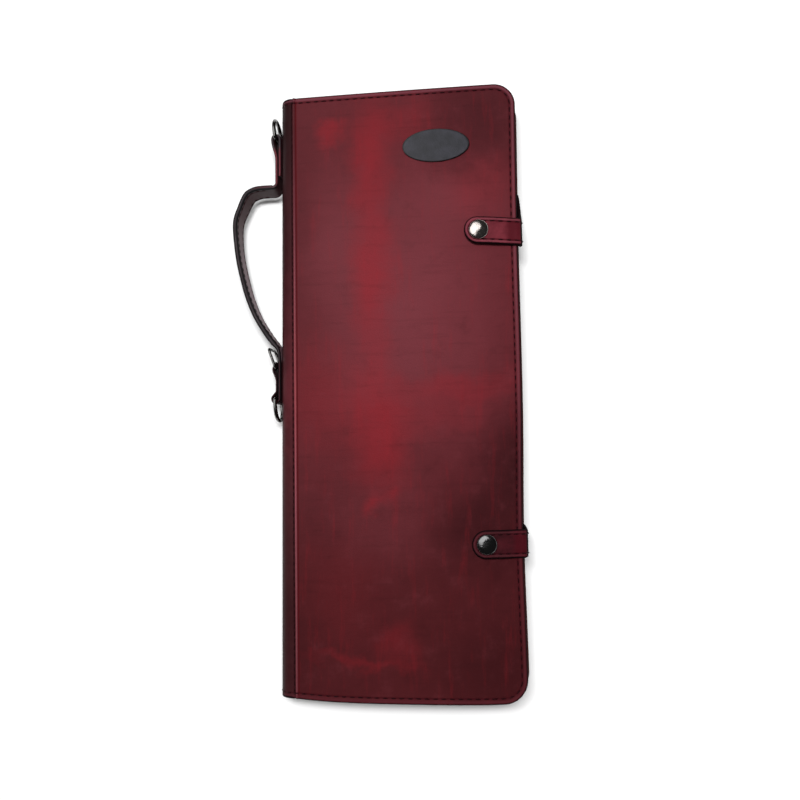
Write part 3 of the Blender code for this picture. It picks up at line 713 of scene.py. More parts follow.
# Closing tabs
# Each tab is a doubled strip of the same leather. It is fixed to the back cover's inner face, comes round the
# free edges and lies on the front, where its snap holds it. Its seam runs along both of its edges.
TAB_WIDTH_MM = 20
TAB_WIDTH = TAB_WIDTH_MM / 1000
TAB_THICKNESS = 0.0028
TAB_EDGE_GAP = 0.0009
TAB_FOLD_RADIUS = 0.0014
TAB_BASE_LENGTH = 0.034
TAB_BASE_RADIUS = 0.003
TAB_TUCK = 0.0026
TAB_ROUND = RIM_ROUND * 0.8
SNAP_LIFT = 0.0020
SNAP_INSET = 0.0107
CAP_RADIUS = 0.0075
GAP = 0.0003
TAB_SEAM_INSET = 0.0030
TAB_SEAM_DEPTH = SEAM_DEPTH * 0.8
TAB_SEAM_HALF = 0.0005
TAB_SEAM_START = 0.004
TAB_PITCH = 0.0054
TAB_STITCH = 0.0040
TAB_THREAD = THREAD * 1.15
TAB_INSETS_MM = (0, 0.2, 0.45, 0.8, 1.2, 1.7, 2.2, 2.5, 2.8, 3.1, 3.4, 3.8, 4.4, 5.4, 7, 8.5, 10)


def arc(centre, radius, start, end, steps):
    """Points on a circle from one angle to another, in degrees."""
    angles = [radians(start + (end - start) * step / steps) for step in range(steps + 1)]
    return [(centre[0] + radius * cos(a), centre[1] + radius * sin(a)) for a in angles]


def ease(start, end, steps):
    """An S-curve along Y between two straight runs, without its first point."""
    run = []
    for step in range(1, steps + 1):
        share = step / steps
        across = (1 - cos(pi * share)) / 2
        run.append((start[0] + (end[0] - start[0]) * across, start[1] + (end[1] - start[1]) * share))
    return run


def tab_middle(row):
    """A tab's middle line in X and Z, from its tip to its base inside the bag."""
    half = TAB_THICKNESS / 2
    edge = free_edge(row["y"])
    tip_x = X_EDGE - row["reach"]
    snap_x = tip_x + SNAP_INSET
    snap_z = crown_height(snap_x, row["y"]) + SNAP_LIFT + half
    flat_end = snap_x + CAP_RADIUS + 2 * GAP
    fold_z = COVER_DEPTH + 3 * GAP + half
    side_x = edge + TAB_EDGE_GAP + half
    fold = TAB_FOLD_RADIUS + half
    base_z = WALL + GAP + half
    turn = TAB_BASE_RADIUS + half
    path = [(tip_x + (flat_end - tip_x) * step / 24, snap_z) for step in range(25)]
    path += [(x, z) for z, x in ease((snap_z, flat_end), (fold_z, side_x - fold), 20)][:-1]
    path += arc((side_x - fold, fold_z - fold), fold, 90, 0, 14)
    drop_top = fold_z - fold
    drop_end = base_z + turn
    for share in (step / 16 for step in range(1, 16)):
        path.append((side_x - TAB_TUCK * share**1.5, drop_top + (drop_end - drop_top) * share))
    turn_x = side_x - TAB_TUCK - turn
    path += arc((turn_x, drop_end), turn, 0, -90, 10)
    base_end = edge - TAB_BASE_LENGTH
    return path + [(turn_x + (base_end - turn_x) * step / 8, base_z) for step in range(1, 9)]


TAB_SHADES = {
    "bend": dyed(76, 14, 24),
    "seam": dyed(60, 14, 22),
    "turned_down_shade": dyed(20, 8, 11),
    "cut": dyed(22, 9, 12),
}
# Each tab's light tone, its shade and the light margin inside its cut edge, a band of painted sheen; the lower
# tab's tones are darker throughout
TAB_TONES = {
    "upper": (dyed(122, 48, 58), dyed(96, 34, 43), dyed(150, 80, 92)),
    "lower": (dyed(76, 26, 33), dyed(50, 18, 23), dyed(96, 48, 54)),
}


def tab_leather(name, outer_x, tone, shade, margin):
    """The cover's leather again, with a lighter margin of painted sheen, and painted black shade where it turns
    down over the bag's edge.
    """
    paint = Paint(name)
    x, y, z = paint.split_place()
    inset = paint.mark("inset")
    mottle = paint.noise(70.0, 5.0, 0.6)[0]
    # Painted shade: black, and matt, where the tab turns down over the bag's edge.
    turned = paint.step(x, outer_x - 0.0015, outer_x - 0.0006)
    turned = paint.maths("MAXIMUM", turned, paint.fall(z, 0.0300, 0.0335))
    cut = paint.fall(inset, 0.0004, 0.0010)
    colour = paint.over(
        shade,
        (paint.step(mottle, 0.35, 0.7), tone),
        (paint.step(x, X_EDGE - 0.010, X_EDGE - 0.005, 0.0, 0.6), TAB_SHADES["bend"]),
        # A light band of painted sheen on the raised margin.
        (paint.line(inset, 0.0017, 0.0012, 0.4), margin),
        (paint.line(inset, TAB_SEAM_INSET, 0.0011, 0.7), TAB_SHADES["seam"]),
        (turned, TAB_SHADES["turned_down_shade"]),
        (cut, TAB_SHADES["cut"]),
    )
    rough = paint.step(paint.maths("MAXIMUM", cut, turned), 0.0, 1.0, 0.46, 0.85)
    paint.leather_grain()
    return paint.surface({"Base Color": colour, "Roughness": rough, "Specular IOR Level": LEATHER_GLOSS})


half_width = TAB_WIDTH / 2
half = TAB_THICKNESS / 2
drop_top = COVER_DEPTH - TAB_FOLD_RADIUS
shares = [inset / TAB_WIDTH_MM for inset in TAB_INSETS_MM]
shares += [1 - share for share in reversed(shares[:-1])]
for row in TABS:
    tip_x = X_EDGE - row["reach"]
    snap_x = tip_x + SNAP_INSET
    path = tab_middle(row)
    stations = []
    for angle in map(radians, range(6, 91, 4)):
        stations.append((tip_x + half_width * (1 - cos(angle)), path[0][1], sin(angle)))
    stations += [(x, z, 1.0) for x, z in path if x > stations[-1][0] + GAP or z < drop_top]
    outer = []
    inner = []
    insets = []
    seam_lines = [[], []]
    for index, (x, z, width) in enumerate(stations):
        before = stations[max(index - 1, 0)]
        after = stations[min(index + 1, len(stations) - 1)]
        tangent = Vector((after[0] - before[0], 0, after[1] - before[1])).normalized()
        normal = Vector((-tangent.z, 0, tangent.x))
        middle_y = row["y"] + row["slant"] * (x - snap_x)
        down = min(1.0, max(0.0, (drop_top - z) / (drop_top - WALL)))
        spread = down * down * (3 - 2 * down)
        high = middle_y + half_width * width + row["up"] * spread
        low = middle_y - half_width * width - row["down"] * spread
        outer.append([])
        inner.append([])
        insets.append([])
        for share in shares:
            y = low + (high - low) * share
            inset = min(y - low, high - y)
            if width < 1:
                inset = half_width - hypot(half_width - (x - tip_x), y - middle_y)
            rounding = rounded_off(inset, TAB_ROUND)
            press = TAB_SEAM_DEPTH * bell(inset - TAB_SEAM_INSET, TAB_SEAM_HALF) * (1 - min(1.0, 5 * down))
            outer[-1].append(Vector((x, y, z)) + normal * (half - rounding - press))
            inner[-1].append(Vector((x, y, z)) - normal * (half - rounding))
            insets[-1].append(inset)
        if snap_x + TAB_SEAM_START < x and down < 0.2:
            for line, y in zip(seam_lines, (high - TAB_SEAM_INSET, low + TAB_SEAM_INSET)):
                line.append(Vector((x, y, z)) + normal * (half - TAB_SEAM_DEPTH + THREAD / 4))
    outer_x = free_edge(row["y"]) + TAB_EDGE_GAP + TAB_THICKNESS
    material = tab_leather("tab_leather_" + row["name"], outer_x, *TAB_TONES[row["name"]])
    tab = leather_sheet("tab_" + row["name"] + "_leather", outer, inner, insets, material)
    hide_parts("tab_" + row["name"])
    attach(tab, "bag")
    sew("tab_" + row["name"] + "_stitches", seam_lines, TAB_PITCH, TAB_STITCH, TAB_THREAD)


# Snaps
# A domed cap of dark polished nickel is riveted through each tab; the plain ring of the snap is under it.
CAP_HEIGHT = 0.0034
CAP_RIM = 0.00075
POST_RADIUS = 0.0018
STUD_RADIUS = 0.0052
STUD_NECK = 0.0037
STUD_FLANGE = 0.0005
CAP_ROUGH = 0.15
# The two caps are one plating in lit and shaded copies: the upper one lighter, standing in for reflected room
# light, the lower one much darker as painted shade.
CAP_LIT_AND_SHADED_TONES = {"upper": (0.56, 0.51, 0.48, 1.0), "lower": (0.20, 0.20, 0.20, 1.0)}


def dark_nickel(name, colour, rough):
    """Polished plating with the slight dents and smears of use."""
    paint = Paint(name)
    smear = paint.noise(160.0, 4.0, 0.6)[0]
    paint.bump(paint.noise(330.0, 2.0, 0.5)[0], 0.5, 0.0004)
    return paint.surface({
        "Base Color": paint.over(colour, (smear, darker(colour, 0.8))),
        "Roughness": paint.step(smear, 0.3, 0.75, rough, rough + 0.12),
        "Metallic": 1.0,
    })


def dome_profile(radius, base, rise, steps):
    """A dome as rows of (radius, height), from its top to its rim."""
    angles = [radians(90 * step / steps) for step in range(1, steps + 1)]
    return [(0.0, base + rise)] + [(radius * sin(a), base + rise * cos(a)) for a in angles]


def turned_piece(name, profile, material, place, up=Vector((0, 0, 1)), sides=64):
    """A round piece turned about its axis from rows of (radius, height), closed at both ends."""
    turn = up.to_track_quat("Z", "Y").to_matrix()
    points = []
    rings = []
    for radius, height in profile:
        if radius == 0.0:
            rings.append([len(points)] * sides)
            points.append(turn @ Vector((0, 0, height)) + place)
            continue
        rings.append(list(range(len(points), len(points) + sides)))
        for step in range(sides):
            angle = 2 * pi * step / sides
            spot = Vector((radius * cos(angle), radius * sin(angle), height))
            points.append(turn @ spot + place)
    piece = solid_piece(name, points, ring_faces(rings), material)
    piece.data.set_sharp_from_angle(angle=radians(50))
    return piece


for row in TABS:
    cap_nickel_painted_light = dark_nickel("nickel_painted_light_" + row["name"], CAP_LIT_AND_SHADED_TONES[row["name"]], CAP_ROUGH)
    snap_x = X_EDGE - row["reach"] + SNAP_INSET
    snap_place = Vector((snap_x, row["y"], 0))
    seat = crown_height(snap_x - STUD_RADIUS, row["y"]) + GAP
    floor = seat + STUD_FLANGE
    tab_z = tab_middle(row)[0][1]
    under = tab_z + TAB_THICKNESS / 2 + GAP
    profile = dome_profile(CAP_RADIUS, under + CAP_RIM, CAP_HEIGHT - CAP_RIM, 24)
    profile += [(CAP_RADIUS * 0.997, under + CAP_RIM * 0.55), (CAP_RADIUS * 0.98, under + CAP_RIM * 0.2)]
    profile += [(CAP_RADIUS * 0.94, under), (POST_RADIUS, under)]
    profile += [(POST_RADIUS, floor + GAP), (0.0, floor + GAP)]
    cap = turned_piece("cap_" + row["name"] + "_dome", profile, cap_nickel_painted_light, snap_place)
    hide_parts("cap_" + row["name"])
    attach(cap, "bag")
    top = tab_z - TAB_THICKNESS / 2 - GAP
    profile = [(0.0, floor), (POST_RADIUS + GAP, floor), (POST_RADIUS + GAP, top), (STUD_NECK, top)]
    profile += [(STUD_NECK, floor), (STUD_RADIUS, floor), (STUD_RADIUS, seat), (0.0, seat)]
    stud = turned_piece("stud_" + row["name"] + "_ring", profile, cap_nickel_painted_light, snap_place)
    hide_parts("stud_" + row["name"])
    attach(stud, "bag")


# Patch
# An oval of black leather, cut with a clean edge and glued flat on the front cover. It is left bare.
PATCH_LENGTH = 0.0512
PATCH_HEIGHT = 0.0256
PATCH_THICKNESS = 0.0014
PATCH_X = 0.0257
PATCH_Y = 0.1846
PATCH_SIDES = 96
PATCH_DARK_EDGE = 0.0009
# Rings from the middle of its underside to the middle of its face, as shares of its size and its thickness
PATCH_RINGS = (
    (0.0, 0.0), (0.55, 0.0), (1.0, 0.0), (1.0, 0.45), (1.0, 0.75), (0.995, 0.9), (0.985, 0.97), (0.97, 1.0),
    (0.9, 1.02), (0.75, 1.06), (0.5, 1.1), (0.25, 1.12), (0.0, 1.12),
)

paint = Paint("black_patch_leather")
smoke = paint.noise(60.0, 5.0, 0.6)[0]
colour = paint.over(
    dyed(30, 30, 36),
    (paint.step(smoke, 0.35, 0.7), dyed(50, 49, 58)),
    # The rim is painted darker all round: partly its dark cut edge, partly painted shade at its outline.
    (paint.step(paint.mark("inset"), PATCH_DARK_EDGE * 0.4, PATCH_DARK_EDGE, 1.0, 0.0), dyed(16, 14, 18)),
)
paint.leather_grain()
patch_leather = paint.surface({"Base Color": colour, "Roughness": 0.5})

points = []
marks = []
rings = []
for size, height in PATCH_RINGS:
    rings.append([len(points) + (step if size else 0) for step in range(PATCH_SIDES)])
    for step in range(PATCH_SIDES if size else 1):
        angle = 2 * pi * step / PATCH_SIDES
        x = PATCH_X + PATCH_LENGTH / 2 * size * cos(angle)
        y = PATCH_Y + PATCH_HEIGHT / 2 * size * sin(angle)
        points.append((x, y, front_height(x, y) + height * PATCH_THICKNESS))
        marks.append((1 - size) * PATCH_HEIGHT / 2)
patch = solid_piece("patch_leather", points, ring_faces(rings), patch_leather, inset=marks)
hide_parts("patch")
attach(patch, "bag")


# Handle
# One strap of thick leather goes from the upper ring down the spine, out into the bow and back to the spine,
# and folds round the lower ring. It is riveted through the spine near both ends and sewn along its bow.
STRAP_WIDTH = 0.016
STRAP_LAYER = 0.0023
STRAP_RETURN = 0.0016
HANDLE_THICKNESS = 0.0038
HANDLE_SPAN = 0.1292
HANDLE_REACH = 0.0374
HANDLE_ROOT_Y = HALF_LENGTH - 0.0684
HANDLE_ROOT_RADIUS = 0.0042
HANDLE_ROOT_TWIST = radians(-12)
HANDLE_TWIST_FADE = 0.30
HANDLE_LANDING = 1.0453
HANDLE_END_Y = HANDLE_ROOT_Y - HANDLE_LANDING * HANDLE_SPAN
RETURN_UPPER = 0.030
LOOP_EASE = 0.017
RETURN_END_PAST_LINK = 0.005
RING_WIRE = 0.0030
LINK_WIRE = 0.0022
RIVET_HEAD_RADIUS = 0.0032
RING_UPPER_Y = HANDLE_ROOT_Y + 0.0401
RIVET_UPPER_Y = HANDLE_ROOT_Y + 0.0204
LINK_Y = HANDLE_END_Y - 0.00745
RIVET_LOWER_Y = LINK_Y - 0.0137
RING_LOWER_Y = RIVET_LOWER_Y - 0.0096
# The bow's outer side as shares of its span, from its root down, and of its reach
BOW = (
    (0.000, 0.40), (0.004, 0.57), (0.024, 0.73), (0.062, 0.82), (0.114, 0.90), (0.164, 0.97), (0.220, 1.00),
    (0.320, 0.985), (0.435, 0.93), (0.550, 0.84), (0.665, 0.725), (0.780, 0.56), (0.880, 0.35), (0.945, 0.185),
    (0.985, 0.075),
)


def crest_x(y):
    return X_RIDGE - spine_bulge(y)


def inner_layer_x(y):
    """Middle of the strap layer that lies on the spine."""
    return crest_x(y) - GAP - STRAP_LAYER / 2


def outer_layer_x(y, layer):
    """Middle of a second layer on top of the first."""
    return inner_layer_x(y) - STRAP_LAYER / 2 - GAP - layer / 2


def loop_radius(wire, layer):
    return wire / 2 + GAP + layer / 2


def ring_bar(y):
    return inner_layer_x(y) - loop_radius(RING_WIRE, STRAP_LAYER), y


def link_bar_x():
    return inner_layer_x(LINK_Y) - STRAP_LAYER / 2 - GAP - LINK_WIRE / 2


def smooth_through(points, steps):
    """A curve through the points, with the given number of steps between neighbours."""
    padded = [points[0]] + list(points) + [points[-1]]
    curve = []
    for before, start, end, after in zip(padded, padded[1:], padded[2:], padded[3:]):
        for step in range(steps):
            t = step / steps
            weights = (
                (-t + 2 * t**2 - t**3) / 2,
                (2 - 5 * t**2 + 3 * t**3) / 2,
                (t + 4 * t**2 - 3 * t**3) / 2,
                (-t**2 + t**3) / 2,
            )
            corners = (before, start, end, after)
            curve.append(tuple(sum(w * p[i] for w, p in zip(weights, corners)) for i in range(len(start))))
    return curve + [tuple(points[-1])]


def with_layer(points, layer):
    return [(x, y, layer, 0.0) for x, y in points]


def strap_middle():
    """The strap's middle line as rows of x, y, thickness and twist, and where the bow starts and ends in it."""
    upper_x, upper_y = ring_bar(RING_UPPER_Y)
    lower_x, lower_y = ring_bar(RING_LOWER_Y)
    radius = loop_radius(RING_WIRE, STRAP_LAYER)
    path = [(upper_x + radius, upper_y - RETURN_UPPER * (1 - step / 10)) for step in range(10)]
    path = with_layer(path, STRAP_LAYER)
    path += with_layer(arc((upper_x, upper_y), radius, 0, 180, 20), STRAP_LAYER)
    down_x = outer_layer_x(upper_y, STRAP_LAYER)
    eased = (down_x, upper_y - LOOP_EASE)
    path += with_layer(ease((upper_x - radius, upper_y), eased, 14), STRAP_LAYER)
    bend = (down_x - HANDLE_ROOT_RADIUS, HANDLE_ROOT_Y + HANDLE_ROOT_RADIUS)
    run = bend[1] - eased[1]
    path += with_layer([(down_x, eased[1] + run * step / 8) for step in range(1, 8)], STRAP_LAYER)
    corner = arc(bend, HANDLE_ROOT_RADIUS, 0, -90, 14)
    for step, (x, y) in enumerate(corner):
        share = step / (len(corner) - 1)
        path.append((x, y, STRAP_LAYER + (HANDLE_THICKNESS - STRAP_LAYER) * share, HANDLE_ROOT_TWIST * share))
    bow_start = len(path)
    rows = []
    for down, out in BOW:
        y = HANDLE_ROOT_Y - down * HANDLE_SPAN
        fade = max(0.0, 1 - down / HANDLE_TWIST_FADE)
        rows.append((crest_x(y) - out * HANDLE_REACH, y, HANDLE_THICKNESS, HANDLE_ROOT_TWIST * fade))
    thin = (rows[-1][0], rows[-1][1], (HANDLE_THICKNESS + 2 * STRAP_LAYER) / 3, 0.0)
    landing = (inner_layer_x(HANDLE_END_Y), HANDLE_END_Y, STRAP_LAYER, 0.0)
    path += smooth_through(rows[:-1] + [thin, landing], 8)
    bow_end = len(path)
    start = path[-1]
    run_x = lower_x + radius - start[0]
    run_y = lower_y - start[1]
    path += with_layer(
        [(start[0] + run_x * step / 10, start[1] + run_y * step / 10) for step in range(1, 11)], STRAP_LAYER
    )
    fold = arc((lower_x, lower_y), radius, 0, -180, 20)[1:]
    for step, (x, y) in enumerate(fold):
        share = max(0.0, (step - 14) / 5)
        path.append((x, y, STRAP_LAYER + (STRAP_RETURN - STRAP_LAYER) * share, 0.0))
    link_x = link_bar_x()
    waist_x = outer_layer_x(RIVET_LOWER_Y, STRAP_RETURN)
    over = (link_x - loop_radius(LINK_WIRE, STRAP_RETURN) - GAP, LINK_Y)
    end_y = LINK_Y + RETURN_END_PAST_LINK
    end = (outer_layer_x(end_y, STRAP_RETURN) - GAP, end_y)
    flat = RIVET_HEAD_RADIUS + GAP
    path += with_layer(ease(path[-1][:2], (waist_x, RIVET_LOWER_Y - flat), 12), STRAP_RETURN)
    path += with_layer([(waist_x, RIVET_LOWER_Y), (waist_x, RIVET_LOWER_Y + flat)], STRAP_RETURN)
    path += with_layer(ease((waist_x, RIVET_LOWER_Y + flat), over, 12), STRAP_RETURN)
    tail = [(*over, 0), (over[0] + (end[0] - over[0]) / 4, LINK_Y + RETURN_END_PAST_LINK / 3, 0), (*end, 0)]
    path += with_layer([point[:2] for point in smooth_through(tail, 5)[1:]], STRAP_RETURN)
    return path, bow_start, bow_end


def strap_sections(path):
    """At each row of the middle line: the middle, the way across the strap's thickness, and the way up it."""
    sections = []
    for index, (x, y, layer, twist) in enumerate(path):
        before = path[max(index - 1, 0)]
        after = path[min(index + 1, len(path) - 1)]
        tangent = Vector((after[0] - before[0], after[1] - before[1], 0)).normalized()
        side = Vector((tangent.y, -tangent.x, 0))
        up = Vector((0, 0, 1))
        across = side * cos(twist) + up * sin(twist)
        rise = up * cos(twist) - side * sin(twist)
        sections.append((Vector((x, y, Z_MIDDLE)), across, rise, layer))
    return sections


STRAP_TONES = {
    "root_face": dyed(70, 36, 40),
    # Painted sheen: the bow's inner face is paler lower down, where it catches the light.
    "low_face_sheen": dyed(150, 118, 126),
    "worn": dyed(66, 36, 42),
    # The cut edges' grey: partly their own dark colour, partly painted sheen; the lighter grey patches are
    # painted sheen and wear.
    "cut": dyed(44, 33, 37),
    "cut_sheen_and_wear": dyed(68, 58, 62),
    "spine_cut": dyed(104, 44, 52),
    "low_cut": dyed(62, 22, 30),
    "corner": dyed(16, 11, 13),
}
STRAP_ROUND = 0.0009
STRAP_SEAM_INSET = 0.0024
STRAP_SEAM_DEPTH = SEAM_DEPTH * 0.7
STRAP_SEAM_HALF = 0.0004
STRAP_PITCH = 0.0048
STRAP_STITCH = 0.0033
STRAP_THREAD = THREAD * 0.8
SEAM_ROWS_SHORT = 10
FACE_STEPS_MM = (0.5, 1.2, 1.7, 2.0, 2.4, 2.8, 3.1, 3.8, 5.4)

paint = Paint("dark_strap_leather")
along_y = paint.split_place()[1]
patchy = paint.step(paint.noise(90.0, 5.0, 0.6)[0], 0.3, 0.7)
corner = paint.mark("corner")
# Painted sheen on the bow's inner face, fading out towards its root.
face_sheen = paint.maths("MULTIPLY", paint.fall(along_y, 0.060, 0.158), paint.mark("bow_inside"))
face = paint.over(
    STRAP_TONES["root_face"],
    (face_sheen, STRAP_TONES["low_face_sheen"]),
    (paint.maths("MULTIPLY", patchy, 0.35), STRAP_TONES["worn"]),
)
on_spine = paint.step(along_y, HANDLE_ROOT_Y - 0.001, HANDLE_ROOT_Y + 0.006)
below_knot = paint.fall(along_y, RING_UPPER_Y - 0.010, RING_UPPER_Y - 0.006)
below_bow = paint.fall(along_y, HANDLE_END_Y - 0.004, HANDLE_END_Y)
rim = paint.fall(corner, 0.62, 0.92)
spine_rim = paint.fall(corner, 0.30, 0.60)
colour = paint.over(
    STRAP_TONES["cut"],
    (patchy, STRAP_TONES["cut_sheen_and_wear"]),
    (paint.maths("MULTIPLY", on_spine, below_knot), STRAP_TONES["spine_cut"]),
    (below_bow, STRAP_TONES["low_cut"]),
    (paint.step(paint.mark("inset"), 0.0002, 0.0007), face),
    (paint.add("Mix", {0: on_spine, 2: rim, 3: spine_rim}).outputs[0], STRAP_TONES["corner"]),
)
paint.leather_grain()
strap_leather = paint.surface({"Base Color": colour, "Roughness": 0.5, "Specular IOR Level": 0.2})

strap_path, bow_start, bow_end = strap_middle()
sections = strap_sections(strap_path)
points = []
insets = []
corner_marks = []
inner_marks = []
for index, (middle, across, rise, layer) in enumerate(sections):
    sewn = bow_start <= index < bow_end
    half = layer / 2
    corner = min(STRAP_ROUND, half * 0.9)
    flat_end = STRAP_WIDTH / 2 - corner
    quarter = [(0.0, STRAP_WIDTH / 2)]
    for angle in map(radians, range(0, 91, 18)):
        quarter.append((half - corner + corner * sin(angle), flat_end + corner * cos(angle)))
    for inset in (step / 1000 for step in FACE_STEPS_MM):
        press = STRAP_SEAM_DEPTH * bell(inset + corner - STRAP_SEAM_INSET, STRAP_SEAM_HALF) if sewn else 0.0
        quarter.append((half - press, flat_end - inset))
    ring = quarter + [(a, -b) for a, b in reversed(quarter)]
    ring += [(-a, b) for a, b in reversed(ring)]
    ring = [spot for step, spot in enumerate(ring) if spot != ring[step - 1]]
    for a, b in ring:
        points.append(middle + across * a + rise * b)
        insets.append(STRAP_WIDTH / 2 - abs(b))
        corner_marks.append(hypot(half - abs(a), STRAP_WIDTH / 2 - abs(b)) / half)
        inner_marks.append(1.0 if sewn and a < 0 else 0.0)
size = len(ring)
rings = [list(range(index * size, (index + 1) * size)) for index in range(len(sections))]
faces = [rings[0], rings[-1][::-1]] + ring_faces(rings)
handle = solid_piece("handle_strap", points, faces, strap_leather,
                     inset=insets, corner=corner_marks, bow_inside=inner_marks)
handle.data.set_sharp_from_angle(angle=radians(60))
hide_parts("handle")
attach(handle, "bag")

strap_lines = []
for face, edge in ((1, 1), (1, -1), (-1, 1), (-1, -1)):
    strap_lines.append([])
    for middle, across, rise, layer in sections[bow_start:bow_end - SEAM_ROWS_SHORT]:
        lift = layer / 2 - STRAP_SEAM_DEPTH + THREAD / 4
        spot = middle + across * (face * lift) + rise * (edge * (STRAP_WIDTH / 2 - STRAP_SEAM_INSET))
        strap_lines[-1].append(spot)
sew("handle_stitches", strap_lines, STRAP_PITCH, STRAP_STITCH, STRAP_THREAD)


# Rings and link
# Two D-rings and a smaller link, bent from round steel wire, welded and plated dark. Each hangs in its fold.
RING_WIDTH = 0.0173
RING_REACH = 0.0170
LINK_LENGTH = 0.0163
WIRE_CORNER = 0.0028
LINK_LEAN = 20
WIRE_SIDES = 16
RING_ROWS = (
    {"name": "ring_upper", "y": RING_UPPER_Y, "lean": 6.4, "way": 1},
    {"name": "ring_lower", "y": RING_LOWER_Y, "lean": -3.0, "way": -1},
)


def wire_piece(name, outline, wire, bar, lean, material):
    """A closed wire loop in an upright plane through its bar. The outline has (along the loop, across)."""
    turn = Matrix.Rotation(lean, 3, "Z")
    flat = turn @ Vector((1, 0, 0))
    middle = Vector((bar[0], bar[1], Z_MIDDLE))
    line = [turn @ Vector((0, reach, across)) + middle for reach, across in outline]
    points = []
    for index, point in enumerate(line):
        tangent = (line[(index + 1) % len(line)] - line[index - 1]).normalized()
        out = flat.cross(tangent)
        for step in range(WIRE_SIDES):
            angle = 2 * pi * step / WIRE_SIDES
            points.append(point + (flat * cos(angle) + out * sin(angle)) * (wire / 2))
    rings = [list(range(index * WIRE_SIDES, (index + 1) * WIRE_SIDES)) for index in range(len(line))]
    return solid_piece(name, points, ring_faces(rings + rings[:1]), material)


ring_nickel = dark_nickel("dark_ring_nickel", (0.17, 0.165, 0.16, 1.0), 0.12)
half = (RING_WIDTH + RING_WIRE) / 2
for row in RING_ROWS:
    outline = arc((RING_REACH - half, 0), half, -90, 90, 40)
    outline += arc((WIRE_CORNER, half - WIRE_CORNER), WIRE_CORNER, 90, 180, 8)
    outline += arc((WIRE_CORNER, -half + WIRE_CORNER), WIRE_CORNER, 180, 270, 8)
    outline = [(row["way"] * reach, across) for reach, across in outline]
    lean = row["way"] * radians(row["lean"])
    ring = wire_piece(row["name"] + "_wire", outline, RING_WIRE, ring_bar(row["y"]), lean, ring_nickel)
    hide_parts(row["name"])
    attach(ring, row["name"])
half = (RING_WIDTH + LINK_WIRE) / 2
outline = []
for reach, across, start in (
    (LINK_LENGTH - WIRE_CORNER, -half + WIRE_CORNER, -90),
    (LINK_LENGTH - WIRE_CORNER, half - WIRE_CORNER, 0),
    (WIRE_CORNER, half - WIRE_CORNER, 90),
    (WIRE_CORNER, -half + WIRE_CORNER, 180),
):
    outline += arc((reach, across), WIRE_CORNER, start, start + 90, 10)
link_place = (link_bar_x(), LINK_Y)
link = wire_piece("link_wire", outline, LINK_WIRE, link_place, radians(LINK_LEAN), ring_nickel)
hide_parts("link")
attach(link, "link")


# Rivets
# Two round-headed rivets go through the strap's layers and the spine, with a flat head inside.
RIVET_POST_RADIUS = 0.0015
RIVET_HEAD_HEIGHT = 0.0011
RIVET_RIM_HEIGHT = 0.0004
RIVET_BACK_THICKNESS = 0.0008
RIVETS = (
    {"name": "rivet_upper", "y": RIVET_UPPER_Y, "layer": STRAP_LAYER},
    {"name": "rivet_lower", "y": RIVET_LOWER_Y, "layer": STRAP_RETURN},
)

for row in RIVETS:
    y = row["y"]
    head_x = outer_layer_x(y, row["layer"]) - row["layer"] / 2 - GAP
    share = min(1.0, RIVET_HEAD_RADIUS / (Z_MIDDLE - WALL))
    inside_x = X_RIDGE - (spine_bulge(y) - WALL) * (1 - share**SPINE_POWER) ** (1 / SPINE_POWER) + GAP
    length = inside_x - head_x
    back = -length - RIVET_BACK_THICKNESS
    profile = dome_profile(RIVET_HEAD_RADIUS, RIVET_RIM_HEIGHT, RIVET_HEAD_HEIGHT - RIVET_RIM_HEIGHT, 12)
    profile += [(RIVET_HEAD_RADIUS, 0.0), (RIVET_POST_RADIUS, 0.0), (RIVET_POST_RADIUS, -length)]
    profile += [(RIVET_HEAD_RADIUS, -length), (RIVET_HEAD_RADIUS, back), (0.0, back)]
    place = Vector((head_x, y, Z_MIDDLE))
    rivet = turned_piece(row["name"] + "_head", profile, ring_nickel, place, Vector((-1, 0, 0)), 32)
    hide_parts(row["name"])
    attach(rivet, "bag")


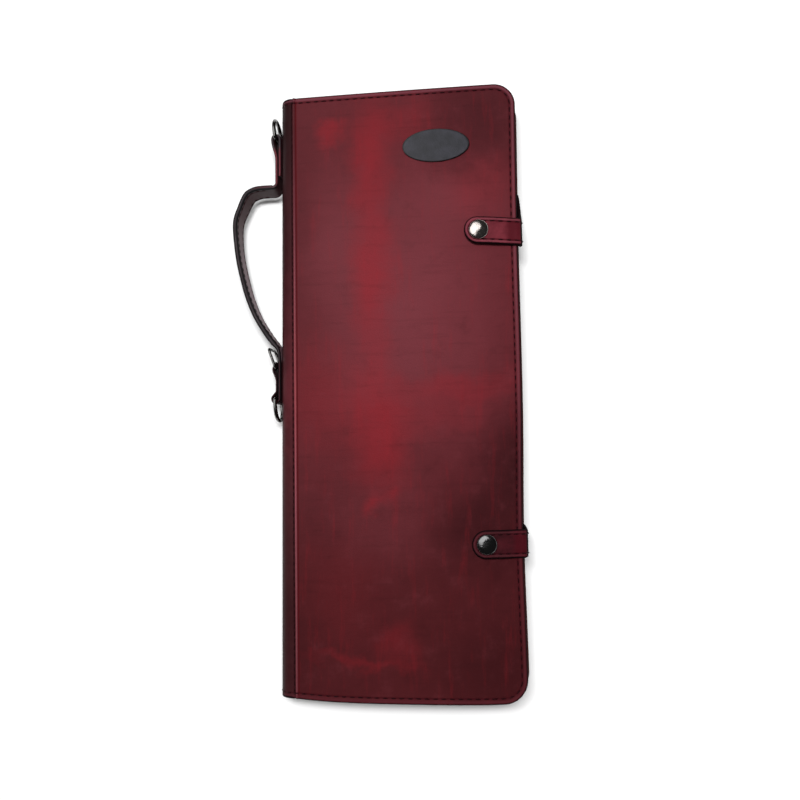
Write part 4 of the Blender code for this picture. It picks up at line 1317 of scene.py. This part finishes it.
# Floor and light
# A plain white floor in an evenly lit white room, under one soft light above the bag and a little past its top
# end. A weaker light low at the left shows only in what mirrors it, the waxed leather and the polished metal,
# which otherwise mirror a dark room. The floor glows far from the bag, so that it is white up to the horizon.
FLOOR_SPAN = 12.0
FLOOR_WHITE = (0.93, 0.93, 0.93, 1.0)
FLOOR_GLOW_START = 0.8
FLOOR_GLOW_FULL = 1.8
WHITE = (1, 1, 1, 1)
SOFTBOXES = (
    {"name": "top_light", "place": (0.20, 0.50, 2.40), "width": 1.25, "height": 0.50, "power": 70.0,
     "mirrored": False},
    {"name": "gloss_light", "place": (-0.40, 0.34, 0.80), "width": 1.05, "height": 0.78, "power": 6.0,
     "mirrored": True},
)
ROOM_LIGHT = 0.20
ROOM_MIRRORED = 0.03
ROOM_SEEN = 1.0

paint = Paint("white_floor")
far = paint.vector_maths("LENGTH", paint.place)["Value"]
floor_paint = paint.surface({
    "Base Color": FLOOR_WHITE,
    "Roughness": 0.9,
    "Specular IOR Level": 0.0,
    "Emission Color": WHITE,
    "Emission Strength": paint.step(far, FLOOR_GLOW_START, FLOOR_GLOW_FULL),
})
half = FLOOR_SPAN / 2
floor_mesh = bpy.data.meshes.new("floor")
corners = [(-half, -half, 0), (half, -half, 0), (half, half, 0), (-half, half, 0)]
floor_mesh.from_pydata(corners, [], [(0, 1, 2, 3)])
floor_mesh.materials.append(floor_paint)
floor = put_in_scene("floor", floor_mesh)

for row in SOFTBOXES:
    lamp = bpy.data.lights.new(row["name"], "AREA")
    lamp.shape = "RECTANGLE"
    lamp.size = row["width"]
    lamp.size_y = row["height"]
    lamp.energy = row["power"]
    softbox = put_in_scene(row["name"], lamp)
    softbox.location = row["place"]
    softbox.rotation_euler = (-Vector(row["place"])).to_track_quat("-Z", "Y").to_euler()
    softbox.visible_glossy = row["mirrored"]
    softbox.visible_diffuse = not row["mirrored"]

world = bpy.data.worlds.new("studio")
world.use_nodes = True
tree = world.node_tree
ray = add_node(tree, "ShaderNodeLightPath").outputs
level = add_node(tree, "ShaderNodeMix", {0: ray["Is Glossy Ray"], 2: ROOM_LIGHT, 3: ROOM_MIRRORED})
level = add_node(tree, "ShaderNodeMix", {0: ray["Is Camera Ray"], 2: level.outputs[0], 3: ROOM_SEEN})
fill_inputs(tree, tree.nodes["Background"], {"Color": WHITE, "Strength": level.outputs[0]})
bpy.context.scene.world = world
bpy.context.scene.view_settings.view_transform = "Standard"
